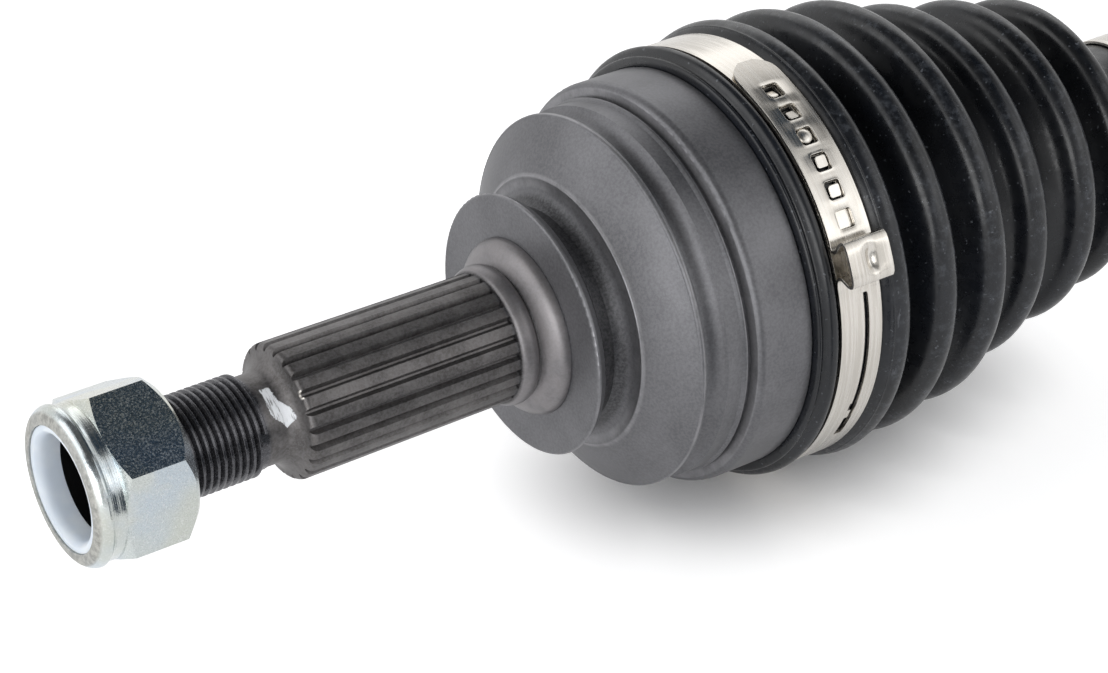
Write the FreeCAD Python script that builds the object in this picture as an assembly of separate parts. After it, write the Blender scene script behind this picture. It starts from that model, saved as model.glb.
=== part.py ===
import FreeCAD, Part
import os
from math import asin, cos, degrees, floor, pi, radians, sin, sqrt, tan

# A front wheel drive shaft, in millimetres: a fixed ball joint with a splined and threaded stub for
# the wheel hub, a solid bar, and a sliding tripod joint with a splined stub for the gearbox.
# The shaft lies along X. The hub end points to -X, and the origin is the middle of the smooth hub
# seat in front of the bell's shoulder, on the axis. Z is up.

# Clearances
running_gap = 0.3            # between curved faces of pieces that move on each other
seat_clearance = 0.03        # between a sliding seat and what slides on it
thread_clearance = 0.1       # between the stub's thread core and the nut's bore

# Turned edges and cutters
broken_edge = 0.5            # usual size of a broken edge
slight_rise = 0.1            # bulge of the smallest rounds
round_rise = 0.29            # bulge of a quarter round, as a share of its size
overrun = 1.0                # how far a cutter starts before what it cuts and ends behind it

# Hub stub
seat_radius = 14.1
seat_length = 4.6
seat_chamfer = 0.5
seat_relief_depth = 0.5      # narrow groove behind the seat
seat_relief_width = 0.7
hub_spline_radius = 13.4
hub_spline_length = 45.2
hub_spline_teeth = 23
hub_spline_depth = 1.2
hub_spline_turn = 0.4        # of one groove, from the top towards the near side, in degrees
spline_mouth = 1.6           # width of a spline groove at the tooth tips
spline_floor = 0.4           # width of a spline groove at its floor
cone_length = 4.2            # from the spline down to the neck in front of the thread
cone_foot_drop = 1.3         # where the cone turns into the spline's rounded front edge
neck_radius = 8.9
neck_length = 3.4
thread_radius = 10.0
thread_pitch = 1.5
thread_length = 28.0
thread_depth_share = 0.6134  # of the pitch
stub_end_chamfer = 1.0

# Hub nut
nut_from_thread_start = 18.0  # free thread between the neck and the nut
nut_height = 20.4
nut_across_flats = 30.0
nut_hex_height = 15.2
nut_corner_angle = 2.1       # of one corner, from the top towards the near side
nut_chamfer_angle = 30.0     # towards the collar
nut_back_chamfer_angle = 45.0
nut_chamfer_share = 0.96     # of the flats, where the hexagon's end face stops
nut_collar_overlap = 1.0     # of the collar and the hexagon
nut_collar_radius = 15.5
nut_collar_round = 2.4
nut_lip_radius = 12.25       # rolled lip that holds the ring in
nut_lip_thickness = 1.2
nut_bore_chamfer = 1.2
ring_outer_radius = 13.4
ring_bore_radius = 9.75
ring_mouth_radius = 11.6
ring_mouth_length = 2.0
ring_length = 4.4
ring_below_face = 0.5        # from the nut's face to the ring

# Bell of the fixed joint
boss_length = 3.6            # rise from the hub seat to the shoulder's face
boss_radius = 17.6
flange_radius = 26.6
flange_thickness = 2.6
flange_round = 0.8
boss_round = 0.8             # hollow in front of the shoulder's face
waist_radius = 22.4
waist_front_length = 1.4     # of the hollow's wall behind the flange
waist_back_length = 2.8      # of its wall in front of the skirt
waist_round = 0.5
joint_from_shoulder = 42.1
bell_wall = 3.9              # over the ball tracks
skirt_from_joint = 26.0      # thin edge of the skirt, in front of the joint's centre
skirt_below_body = 3.2
skirt_length = 6.6
skirt_root_radius = 27.6
skirt_lip = 0.8
skirt_edge_drop = 0.6        # of the cone where it rounds into the skirt's edge
relief_depth = 2.6           # turned hollow behind the skirt's edge
relief_width = 4.9
relief_round = 0.8           # of the hollow, which ends steeply at the land
land_width = 4.3
land_rise = 0.5              # of the ridge over the land
ridge_groove_width = 1.0
ridge_groove_depth = 0.7
body_round_width = 2.0
body_round_height = 1.2
boot_seat_from_joint = 2.6   # step in front of the joint's centre where the boot starts
boot_seat_step = 1.2
mouth_from_joint = 17.0
mouth_radius = 36.6
mouth_cone_length = 9.0
cavity_floor_from_joint = 28.0

# Balls, cage and inner race
bend_limit = 45.0            # largest bend of the fixed joint, degrees
ball_radius = 8.0
ball_circle_radius = 29.2
ball_count = 6
track_side_play = 1.0        # tracks are this much wider to each side, for balls that turn with the cage
track_spare_angle = 3.0      # of a track past the ball's last place
track_mouth_angle = 75.0     # from the balls' plane out through the bell's mouth
race_track_angle = 60.0      # from the balls' plane out through the race's faces
cage_above_balls = 3.4       # from the circle of the balls' centres to the cage's outside
cage_thickness = 5.6
cage_width = 26.0
window_length = 21.5
window_corner = 3.0
race_width = 21.0
race_bore_chamfer = 0.8

# Bar
bar_radius = 11.5
bar_end_radius = 12.0
bar_end_reach = 13.6         # past the middle of each joint
bar_end_chamfer = 1.2
bar_shoulder_radius = 13.4
bar_shoulder_length = 3.0
bar_taper_length = 5.0
bar_spline_teeth = 25
bar_spline_depth = 0.8
joint_distance = 380.0       # between the centres of the two joints
circlip_width = 1.4
circlip_depth = 1.0          # in its groove
circlip_height = 1.7         # above its groove
circlip_opening = 34.0       # degrees
boot_rib_depth = 0.6         # shallow groove under a boot's narrow collar
boot_rib_width = 4.0

# Tripod
bend_limit_tripod = 18.0     # largest bend of the sliding joint, degrees
trunnion_count = 3
trunnion_radius = 8.0
trunnion_tip = 32.2          # from the axis
trunnion_chamfer = 0.6
spider_hub_radius = 17.2
spider_width = 21.0
spider_round = 1.6
roller_radius = 15.5
roller_width = 11.6
roller_circle_radius = 24.0
needle_radius = 1.5
needle_length = 10.6
needle_play = 0.03
washer_thickness = 1.0
washer_radius = 10.8

# Housing of the sliding joint
housing_wall = 3.6           # over the corners of the roller tracks
housing_bore_radius = 24.0
housing_mouth_chamfer = 5.2
housing_mouth_from_joint = 31.0
housing_floor_from_joint = 38.0
housing_floor_thickness = 6.5
housing_shoulder_length = 20.0
shoulder_rise = 2.2          # of the two arcs between the cup and its neck
housing_neck_radius = 19.5
roller_top_room = 3.5        # over a roller's outer face
journal_radius = 17.5
journal_length = 20.0
journal_chamfer = 1.0
gearbox_spline_radius = 13.2
gearbox_spline_length = 38.0
gearbox_spline_teeth = 25
gearbox_spline_depth = 1.1
gearbox_relief_length = 3.0
gearbox_end_length = 5.0     # from the circlip groove's far side to the stub's end
gearbox_end_chamfer = 1.6
wire_radius = 0.9            # round wire of the gearbox circlip
wire_play = 0.1              # of the wire in its groove

# Boots: each crest is its distance from the joint's centre along the bar and its radius
boot_wall = 2.6
edge_gap = 0.1               # between a boot's edge and the step that it butts against
lip_height = 3.4             # of the boot's edge over its seat
lip_width = 4.0
lip_round = 0.8
collar_wall = 3.3            # under the large clamp
valley_depth = 9.0
crest_half_width = 2.2
crest_height = 2.0
valley_half_width = 1.3
valley_sag = 0.8
flank_slope = 0.3            # how much a crest narrows and a valley widens through the wall
neck_wall = 4.4              # rubber collar on the bar
neck_slope = 12.0            # length of the run from the last convolution to the collar
neck_round = 0.8
bead_foot = 1.6              # from the thick bead's flank to the seat of the large band
bead_from_band = 4.5         # from the large band to the thick bead's crest
outer_bead_radius = 46.2
outer_boot_crests = [(29.5, 45.0), (43.9, 43.2), (59.1, 38.6), (75.5, 35.3), (89.6, 32.0)]
outer_boot_neck = (108.0, 126.0)
inner_bead_radius = 44.0
inner_boot_crests = [(50.0, 42.5), (63.0, 39.0), (76.0, 35.5), (88.5, 31.5)]
inner_boot_neck = (105.0, 122.0)
inner_boot_seat = 18.5       # step where its large collar starts, from the joint's centre

# Ear clamps
band_thickness = 0.7
band_gap = 0.15              # between a band and the rubber under it
large_band_width = 10.0
small_band_width = 8.0
large_band_from_lip = 4.8    # from the boot's edge to the band
ear_height = 6.2
ear_length = 8.4
ear_round = 1.6
ear_root_overlap = 1.0       # degrees that the tongue runs on under the ear's foot
ear_angle = 66.3             # round the shaft from the top towards the near side
small_ear_angle = 215.0
large_tongue_length = 41.0   # of the overlapping end, along the band
small_tongue_length = 12.0
window_share = 0.42          # of a window in the band's width
window_pitch = 5.7
first_window = 0.8           # of the pitch, from the ear's foot to the first window
window_count = 6
large_slot_length = 38.0
small_slot_length = 9.0
slot_width = 1.8
slot_from_ear = 3.0          # degrees

V = FreeCAD.Vector
centre = V(0, 0, 0)
along = V(1, 0, 0)
across = V(0, 1, 0)
upward = V(0, 0, 1)

# Stations along X
seat_front = -seat_length / 2
seat_back = seat_length / 2
shoulder_x = seat_back + boss_length
flange_back = shoulder_x + flange_thickness
joint_x = shoulder_x + joint_from_shoulder
tripod_x = joint_x + joint_distance
spline_front = seat_front - hub_spline_length
neck_back = spline_front - cone_length
thread_back = neck_back - neck_length
stub_end = thread_back - thread_length
nut_back = thread_back - nut_from_thread_start
nut_face = nut_back - nut_height
mouth_x = joint_x + mouth_from_joint
thread_core_radius = thread_radius - thread_depth_share * thread_pitch

# Radii that follow from the balls and rollers
track_top_radius = ball_circle_radius + ball_radius + running_gap
body_radius = track_top_radius + bell_wall
boot_seat_radius = body_radius - boot_seat_step
cage_outer_radius = ball_circle_radius + cage_above_balls
cage_inner_radius = cage_outer_radius - cage_thickness
race_radius = cage_inner_radius - running_gap
bore_on_bar = bar_end_radius + seat_clearance

# The rollers on the two slanting trunnions shift this much in their tracks at the largest bend
slant = sin(2 * pi / trunnion_count)
bend_shift = roller_circle_radius * slant * (1 / cos(radians(bend_limit_tripod)) - 1)
roller_track_radius = roller_radius + running_gap + bend_shift * cos(pi / trunnion_count)
roller_track_top = roller_circle_radius + roller_width / 2 + roller_top_room
roller_track_corner = sqrt(roller_track_radius ** 2 - (roller_track_top - roller_circle_radius) ** 2)
housing_radius = sqrt(roller_track_top ** 2 + roller_track_corner ** 2) + housing_wall
housing_seat_radius = housing_radius - boot_seat_step


def path(steps):
    """Edges in the XZ plane along steps: a step (x, r) is a straight run to that point, and a step
    (x, r, rise) is an arc that bulges by rise to the left of its chord."""
    edges = []
    here = V(steps[0][0], 0, steps[0][1])
    for step in steps[1:]:
        there = V(step[0], 0, step[1])
        if len(step) == 3:
            run = there - here
            left = V(-run.z, 0, run.x).normalize()
            middle = (here + there) / 2 + left * step[2]
            edges.append(Part.Arc(here, middle, there).toShape())
        else:
            edges.append(Part.LineSegment(here, there).toShape())
        here = there
    return edges


def turned(steps, angle=360.0):
    """Solid turned about the X axis from the outline that the steps close."""
    return Part.Face(Part.Wire(path(steps + steps[:1]))).revolve(centre, along, angle)


def turn_about_shaft(shape, angle):
    """Copy of a shape turned about the shaft's axis."""
    copy = shape.copy()
    copy.rotate(centre, along, angle)
    return copy


def ring_of(shape, count):
    """Copies of a shape spread evenly round the shaft."""
    return [turn_about_shaft(shape, 360.0 * place / count) for place in range(count)]


def rod(radius, start, end):
    """Cylinder on the X axis between two stations."""
    return Part.makeCylinder(radius, end - start, V(start, 0, 0), along)


def spline_grooves(teeth, tip_radius, depth, start, end):
    """Cutters for the grooves between the teeth of an outside spline."""
    floor_radius = tip_radius - depth
    mouth_half = spline_mouth / 2
    floor_half = spline_floor / 2
    flare = (mouth_half - floor_half) * overrun / depth
    corners = [
        V(start, -floor_half, floor_radius),
        V(start, floor_half, floor_radius),
        V(start, mouth_half + flare, tip_radius + overrun),
        V(start, -mouth_half - flare, tip_radius + overrun),
    ]
    section = Part.Face(Part.makePolygon(corners + corners[:1]))
    return ring_of(section.extrude(V(end - start, 0, 0)), teeth)


def ball_tracks(back_angle, front_angle):
    """Cutters for the tracks that the balls roll in: the ball's circle, widened to each side and
    turned about the joint's centre."""
    radius = ball_radius + running_gap
    top = ball_circle_radius + radius
    low = ball_circle_radius - radius
    side = track_side_play
    section = Part.Wire([
        Part.Arc(V(0, side, top), V(0, side + radius, ball_circle_radius), V(0, side, low)).toShape(),
        Part.LineSegment(V(0, side, low), V(0, -side, low)).toShape(),
        Part.Arc(V(0, -side, low), V(0, -side - radius, ball_circle_radius), V(0, -side, top)).toShape(),
        Part.LineSegment(V(0, -side, top), V(0, side, top)).toShape(),
    ])
    section = Part.Face(section)
    section.rotate(centre, across, -back_angle)
    track = section.revolve(centre, across, back_angle + front_angle)
    track.translate(V(joint_x, 0, 0))
    return ring_of(track, ball_count)


def bell_outside():
    """The bell and its stub as turned, before the cavity, the spline and the tracks."""
    skirt_radius = body_radius - skirt_below_body
    skirt_edge = joint_x - skirt_from_joint
    skirt_root = skirt_edge - skirt_length
    relief_back = skirt_edge + skirt_lip + relief_width
    land_radius = skirt_radius + slight_rise
    ridge_x = relief_back + land_width
    ridge_radius = land_radius + land_rise
    groove_back = ridge_x + ridge_groove_width
    body_edge = body_radius - body_round_height
    seat_step_x = joint_x - boot_seat_from_joint
    return turned([
        (stub_end, 0),
        (stub_end, thread_core_radius - stub_end_chamfer),
        (stub_end + stub_end_chamfer, thread_core_radius),
        (thread_back, thread_core_radius),
        (thread_back + broken_edge, neck_radius),
        (neck_back, neck_radius),
        (spline_front - cone_foot_drop, hub_spline_radius - cone_foot_drop, -broken_edge),
        (spline_front, hub_spline_radius, round_rise * cone_foot_drop),
        (seat_front, hub_spline_radius),
        (seat_front, seat_radius - seat_chamfer),
        (seat_front + seat_chamfer, seat_radius),
        (seat_back, seat_radius),
        (seat_back + slight_rise, seat_radius - seat_relief_depth),
        (seat_back + seat_relief_width, seat_radius - seat_relief_depth),
        (shoulder_x, boss_radius, -boss_round),
        (shoulder_x, flange_radius - flange_round),
        (shoulder_x + flange_round, flange_radius, round_rise * flange_round),
        (flange_back - broken_edge, flange_radius),
        (flange_back, flange_radius - broken_edge, slight_rise),
        (flange_back + waist_front_length, waist_radius + waist_round, -waist_round),
        (skirt_root - waist_back_length, waist_radius),
        (skirt_root - slight_rise, skirt_root_radius - broken_edge, -2 * waist_round),
        (skirt_root + slight_rise, skirt_root_radius, slight_rise),
        (skirt_edge - broken_edge, skirt_radius - skirt_edge_drop, 3 * slight_rise),
        (skirt_edge, skirt_radius, slight_rise),
        (skirt_edge + skirt_lip, skirt_radius - slight_rise, slight_rise),
        (skirt_edge + skirt_lip + broken_edge, skirt_radius - relief_depth),
        (relief_back, land_radius, -relief_round),
        (ridge_x - land_rise - broken_edge, land_radius),
        (ridge_x - broken_edge, ridge_radius - slight_rise),
        (ridge_x, ridge_radius, slight_rise / 2),
        (ridge_x + slight_rise, ridge_radius - ridge_groove_depth),
        (groove_back, ridge_radius - ridge_groove_depth),
        (groove_back + slight_rise, body_edge),
        (groove_back + body_round_width, body_radius, round_rise * body_round_height),
        (seat_step_x, body_radius),
        (seat_step_x, boot_seat_radius),
        (mouth_x - broken_edge, boot_seat_radius),
        (mouth_x, boot_seat_radius - broken_edge),
        (mouth_x, 0),
    ])


def bell_cavity():
    """Hollow of the bell: a ball seat for the cage, its floor and the flared mouth."""
    seat = cage_outer_radius + running_gap
    floor_reach = cavity_floor_from_joint
    floor_radius = sqrt(seat ** 2 - floor_reach ** 2)
    cone_start = mouth_from_joint - mouth_cone_length
    cone_radius = sqrt(seat ** 2 - cone_start ** 2)
    chord = sqrt((floor_reach + cone_start) ** 2 + (cone_radius - floor_radius) ** 2)
    rise = seat - sqrt(seat ** 2 - chord ** 2 / 4)
    return turned([
        (joint_x - floor_reach, 0),
        (joint_x - floor_reach, floor_radius),
        (joint_x + cone_start, cone_radius, rise),
        (mouth_x, mouth_radius),
        (mouth_x + overrun, mouth_radius),
        (mouth_x + overrun, 0),
    ])


def outer_joint_bell():
    """Bell with six curved tracks, a splined stub and a thread core, in one forging."""
    reach = degrees(asin((ball_radius + running_gap) / ball_circle_radius))
    back_angle = bend_limit / 2 + reach + track_spare_angle
    bell = bell_outside().cut(bell_cavity())
    bell = bell.cut(ball_tracks(back_angle, track_mouth_angle))
    grooves = spline_grooves(hub_spline_teeth, hub_spline_radius, hub_spline_depth,
                             spline_front - cone_length, seat_front)
    return bell.cut([turn_about_shaft(groove, hub_spline_turn) for groove in grooves])


def hub_nut():
    """Hexagon nut with a turned collar, whose lip is rolled over the locking ring."""
    corner = nut_across_flats / 2 / cos(pi / 6)
    hex_front = nut_back - nut_hex_height
    corners = [V(hex_front, corner * sin(pi * place / 3), corner * cos(pi * place / 3))
               for place in range(6)]
    prism = Part.Face(Part.makePolygon(corners + corners[:1])).extrude(V(nut_hex_height, 0, 0))
    prism = turn_about_shaft(prism, nut_corner_angle)
    face_radius = nut_chamfer_share * nut_across_flats / 2
    past_corner = corner + overrun
    fall = (past_corner - face_radius) * tan(radians(nut_chamfer_angle))
    back_fall = (past_corner - face_radius) * tan(radians(nut_back_chamfer_angle))
    limits = turned([
        (hex_front, 0),
        (hex_front, face_radius),
        (hex_front + fall, past_corner),
        (nut_back - back_fall, past_corner),
        (nut_back, face_radius),
        (nut_back, 0),
    ])
    collar_end = hex_front + nut_collar_overlap
    collar = turned([
        (collar_end, 0),
        (nut_face, 0),
        (nut_face, nut_collar_radius - nut_collar_round),
        (nut_face + nut_collar_round, nut_collar_radius, round_rise * nut_collar_round),
        (hex_front - nut_collar_overlap, nut_collar_radius - broken_edge, -2 * slight_rise),
        (collar_end, nut_collar_radius - broken_edge),
    ])
    pocket_front = nut_face + nut_lip_thickness
    pocket_back = pocket_front + ring_length
    bore = thread_core_radius + thread_clearance
    hollow = turned([
        (nut_face - overrun, 0),
        (nut_face - overrun, nut_lip_radius),
        (pocket_front, nut_lip_radius),
        (pocket_front, ring_outer_radius + seat_clearance),
        (pocket_back, ring_outer_radius + seat_clearance),
        (pocket_back, bore + nut_bore_chamfer),
        (pocket_back + nut_bore_chamfer, bore),
        (nut_back - nut_bore_chamfer, bore),
        (nut_back, bore + nut_bore_chamfer),
        (nut_back + overrun, bore + nut_bore_chamfer),
        (nut_back + overrun, 0),
    ])
    return prism.common(limits).fuse(collar).cut(hollow).removeSplitter()


def nut_locking_ring():
    """Nylon ring with a funnel mouth, held in the nut's collar."""
    front = nut_face + nut_lip_thickness + seat_clearance
    back = front + ring_length - 2 * seat_clearance
    return turned([
        (front, ring_outer_radius),
        (front, nut_lip_radius - seat_clearance),
        (nut_face + ring_below_face, nut_lip_radius - seat_clearance),
        (nut_face + ring_below_face, ring_mouth_radius),
        (front + ring_mouth_length, ring_bore_radius, -0.5),
        (back, ring_bore_radius),
        (back, ring_outer_radius),
    ][::-1])


def ball_cage():
    """Ring cut from a hollow ball, with one window for each ball."""
    shell = Part.makeSphere(cage_outer_radius).cut(Part.makeSphere(cage_inner_radius))
    ring = shell.common(rod(cage_outer_radius + overrun, -cage_width / 2, cage_width / 2))
    width = 2 * (ball_radius + running_gap)
    opening = Part.makeBox(width, window_length, cage_outer_radius + overrun,
                           V(-width / 2, -window_length / 2, 0))
    upright = [edge for edge in opening.Edges if abs(edge.tangentAt(edge.FirstParameter).z) > 0.9]
    opening = opening.makeFillet(window_corner, upright)
    cage = ring.cut(ring_of(opening, ball_count))
    cage.translate(V(joint_x, 0, 0))
    return cage


def balls():
    """The balls, each on its track round the joint's centre."""
    ball = Part.makeSphere(ball_radius, V(joint_x, 0, ball_circle_radius))
    return ring_of(ball, ball_count)


def inner_race():
    """Ball-shaped hub on the bar's end, with six curved tracks."""
    race = Part.makeSphere(race_radius, V(joint_x, 0, 0))
    race = race.common(rod(race_radius + overrun, joint_x - race_width / 2, joint_x + race_width / 2))
    race = race.cut(ball_tracks(race_track_angle, race_track_angle))
    return race.cut(chamfered_bore(joint_x, race_width))


def chamfered_bore(middle, width):
    """Cutter for the bore that takes the bar's end, with a chamfer at both faces."""
    start = middle - width / 2
    end = middle + width / 2
    wide = bore_on_bar + race_bore_chamfer
    return turned([
        (start - overrun, 0),
        (start - overrun, wide),
        (start, wide),
        (start + race_bore_chamfer, bore_on_bar),
        (end - race_bore_chamfer, bore_on_bar),
        (end, wide),
        (end + overrun, wide),
        (end + overrun, 0),
    ])


def circlip(start, groove_radius, width, height):
    """Flat spring ring with an opening, in its groove."""
    ring = turned([
        (start, groove_radius),
        (start, groove_radius + height),
        (start + width, groove_radius + height),
        (start + width, groove_radius),
    ], 360.0 - circlip_opening)
    ring.rotate(centre, along, circlip_opening / 2)
    return ring


def bar_end(middle, hub_width, way):
    """Outline of one end of the bar from its tip to its plain length. way is 1 where the bar runs
    on towards +X and -1 where it runs on towards -X."""
    clip = hub_width / 2 + seat_clearance
    groove_radius = bar_end_radius - circlip_depth
    shoulder = hub_width / 2
    steps = [
        (-bar_end_reach, 0),
        (-bar_end_reach, bar_end_radius - bar_end_chamfer),
        (-bar_end_reach + bar_end_chamfer, bar_end_radius),
        (-clip - circlip_width - seat_clearance, bar_end_radius),
        (-clip - circlip_width - seat_clearance, groove_radius),
        (-clip, groove_radius),
        (-clip, bar_end_radius),
        (shoulder, bar_end_radius),
        (shoulder, bar_shoulder_radius),
        (shoulder + bar_shoulder_length, bar_shoulder_radius),
        (shoulder + bar_shoulder_length + bar_taper_length, bar_radius),
    ]
    return [(middle + way * x, r) for x, r in steps]


def axle_bar():
    """Solid bar with a splined end for each joint and shallow grooves under the boot collars."""
    def boot_groove(first, last):
        middle = (first + last) / 2
        floor_half = boot_rib_width / 2
        edge_half = floor_half + 2 * boot_rib_depth
        return [(middle - edge_half, bar_radius), (middle - floor_half, bar_radius - boot_rib_depth),
                (middle + floor_half, bar_radius - boot_rib_depth), (middle + edge_half, bar_radius)]
    outer_groove = boot_groove(joint_x + outer_boot_neck[0], joint_x + outer_boot_neck[1])
    inner_groove = boot_groove(tripod_x - inner_boot_neck[1], tripod_x - inner_boot_neck[0])
    first = bar_end(joint_x, race_width, 1)
    last = bar_end(tripod_x, spider_width, -1)
    bar = turned(first + outer_groove + inner_groove + last[::-1])
    for middle, width, way in ((joint_x, race_width, 1), (tripod_x, spider_width, -1)):
        tip = middle - way * (bar_end_reach + overrun)
        root = middle + way * width / 2
        bar = bar.cut(spline_grooves(bar_spline_teeth, bar_end_radius, bar_spline_depth,
                                     min(tip, root), max(tip, root)))
    return bar


def on_trunnion(shape, place):
    """Copy of a shape made on the upright trunnion, moved to another one."""
    return turn_about_shaft(shape, 360.0 * place / trunnion_count)


def about_trunnion(steps):
    """Solid turned about the upright trunnion. A step is (distance from the shaft's axis, radius)."""
    body = turned(steps)
    body.rotate(centre, across, -90)
    body.translate(V(tripod_x, 0, 0))
    return body


def tripod_spider():
    """Hub with three trunnions."""
    half = spider_width / 2
    round_off = spider_round
    hub = turned([
        (tripod_x - half, 0),
        (tripod_x - half, spider_hub_radius - round_off),
        (tripod_x - half + round_off, spider_hub_radius, round_rise * round_off),
        (tripod_x + half - round_off, spider_hub_radius),
        (tripod_x + half, spider_hub_radius - round_off, round_rise * round_off),
        (tripod_x + half, 0),
    ])
    stop_radius = trunnion_radius + needle_radius
    stop = roller_circle_radius - roller_width / 2 - running_gap
    trunnion = about_trunnion([
        (bar_end_radius, 0),
        (bar_end_radius, stop_radius),
        (stop, stop_radius),
        (stop, trunnion_radius),
        (trunnion_tip - trunnion_chamfer, trunnion_radius),
        (trunnion_tip, trunnion_radius - trunnion_chamfer),
        (trunnion_tip, 0),
    ])
    spider = hub.fuse(ring_of(trunnion, trunnion_count))
    return spider.cut(chamfered_bore(tripod_x, spider_width)).removeSplitter()


def roller():
    """Barrel roller on the upright trunnion, part of a ball about its own middle."""
    half = roller_width / 2
    low = roller_circle_radius - half
    high = roller_circle_radius + half
    bore = trunnion_radius + 2 * needle_radius + 2 * needle_play
    face_radius = sqrt(roller_radius ** 2 - half ** 2)
    return about_trunnion([
        (low, bore),
        (low, face_radius),
        (high, face_radius, roller_radius - face_radius),
        (high, bore),
    ])


def needle_set():
    """Needles between a trunnion and its roller."""
    circle = trunnion_radius + needle_radius + needle_play
    count = floor(pi / asin((needle_radius + needle_play) / circle))
    start = roller_circle_radius - needle_length / 2
    needles = []
    for place in range(count):
        turn = 2 * pi * place / count
        foot = V(tripod_x + circle * cos(turn), circle * sin(turn), start)
        needles.append(Part.makeCylinder(needle_radius, needle_length, foot, upward))
    return Part.makeCompound(needles)


def roller_washer():
    """Ring pressed on a trunnion, which keeps the needles and the roller in."""
    start = roller_circle_radius + roller_width / 2 + running_gap
    return about_trunnion([
        (start, trunnion_radius),
        (start, washer_radius),
        (start + washer_thickness, washer_radius),
        (start + washer_thickness, trunnion_radius),
    ])


def housing_stations():
    """Stations along the sliding joint's housing and its stub."""
    floor_x = tripod_x + housing_floor_from_joint + housing_floor_thickness
    neck_x = floor_x + housing_shoulder_length / 2
    journal_end = neck_x + journal_length
    spline_start = journal_end + gearbox_relief_length
    spline_end = spline_start + gearbox_spline_length
    clip_start = spline_end
    clip_end = clip_start + 2 * (wire_radius + wire_play)
    stub_tip = clip_end + gearbox_end_length
    return floor_x, neck_x, journal_end, spline_start, clip_start, clip_end, stub_tip


def tulip_housing():
    """Cup with three roller tracks, a seal journal and a splined stub for the gearbox."""
    floor_x, neck_x, journal_end, spline_start, clip_start, clip_end, stub_tip = housing_stations()
    mouth = tripod_x - housing_mouth_from_joint
    seat_end = tripod_x - inner_boot_seat
    shoulder_start = floor_x - housing_shoulder_length / 2
    relief_radius = gearbox_spline_radius - gearbox_spline_depth
    clip_floor = gearbox_spline_radius - wire_radius
    cup = turned([
        (mouth, 0),
        (mouth, housing_seat_radius - broken_edge),
        (mouth + broken_edge, housing_seat_radius),
        (seat_end, housing_seat_radius),
        (seat_end, housing_radius),
        (shoulder_start, housing_radius),
        (floor_x, (housing_radius + housing_neck_radius) / 2, shoulder_rise),
        (neck_x, housing_neck_radius, -shoulder_rise),
        (neck_x, journal_radius),
        (journal_end - journal_chamfer, journal_radius),
        (journal_end, journal_radius - journal_chamfer),
        (journal_end, relief_radius),
        (spline_start, relief_radius),
        (spline_start + gearbox_spline_depth, gearbox_spline_radius),
        (clip_start, gearbox_spline_radius),
        (clip_start, clip_floor),
        (clip_end, clip_floor),
        (clip_end, gearbox_spline_radius),
        (stub_tip - gearbox_end_chamfer, gearbox_spline_radius),
        (stub_tip, gearbox_spline_radius - gearbox_end_chamfer),
        (stub_tip, 0),
    ])
    floor_depth = tripod_x + housing_floor_from_joint
    bore = turned([
        (mouth - overrun, 0),
        (mouth - overrun, housing_bore_radius + housing_mouth_chamfer),
        (mouth, housing_bore_radius + housing_mouth_chamfer),
        (mouth + housing_mouth_chamfer, housing_bore_radius),
        (floor_depth, housing_bore_radius),
        (floor_depth, 0),
    ])
    track_start = mouth - overrun
    track_run = floor_depth - track_start
    round_track = Part.makeCylinder(roller_track_radius, track_run,
                                    V(track_start, 0, roller_circle_radius), along)
    ceiling = Part.makeBox(track_run, 4 * roller_radius, roller_track_top,
                           V(track_start, -2 * roller_radius, 0))
    track = round_track.common(ceiling)
    cup = cup.cut([bore] + ring_of(track, trunnion_count))
    grooves = spline_grooves(gearbox_spline_teeth, gearbox_spline_radius, gearbox_spline_depth,
                             spline_start - overrun, stub_tip + overrun)
    return cup.cut(grooves)


def gearbox_circlip():
    """Round wire ring that snaps into the gearbox's side gear."""
    clip_start = housing_stations()[4]
    middle = clip_start + wire_radius + wire_play
    ring_radius = gearbox_spline_radius + wire_play
    section = Part.Face(Part.Wire(Part.makeCircle(wire_radius, V(middle, 0, ring_radius), across)))
    ring = section.revolve(centre, along, 360.0 - circlip_opening)
    ring.rotate(centre, along, circlip_opening / 2)
    return ring


def convolutions(crests, thin):
    """Steps over the crests and valleys of a boot. thin is 0 for the outside and the wall's
    thickness for the inside."""
    steps = []
    for place, (peak, radius) in enumerate(crests):
        shoulder = radius - thin - crest_height
        narrow = crest_half_width - flank_slope * thin
        steps.append((peak - narrow, shoulder))
        steps.append((peak + narrow, shoulder, crest_height))
        for following, next_radius in crests[place + 1:place + 2]:
            valley = (peak + following) / 2
            low = (radius + next_radius) / 2 - valley_depth - thin + valley_sag
            wide = valley_half_width + flank_slope * thin
            steps.append((valley - wide, low))
            steps.append((valley + wide, low, -valley_sag))
    return steps


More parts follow.
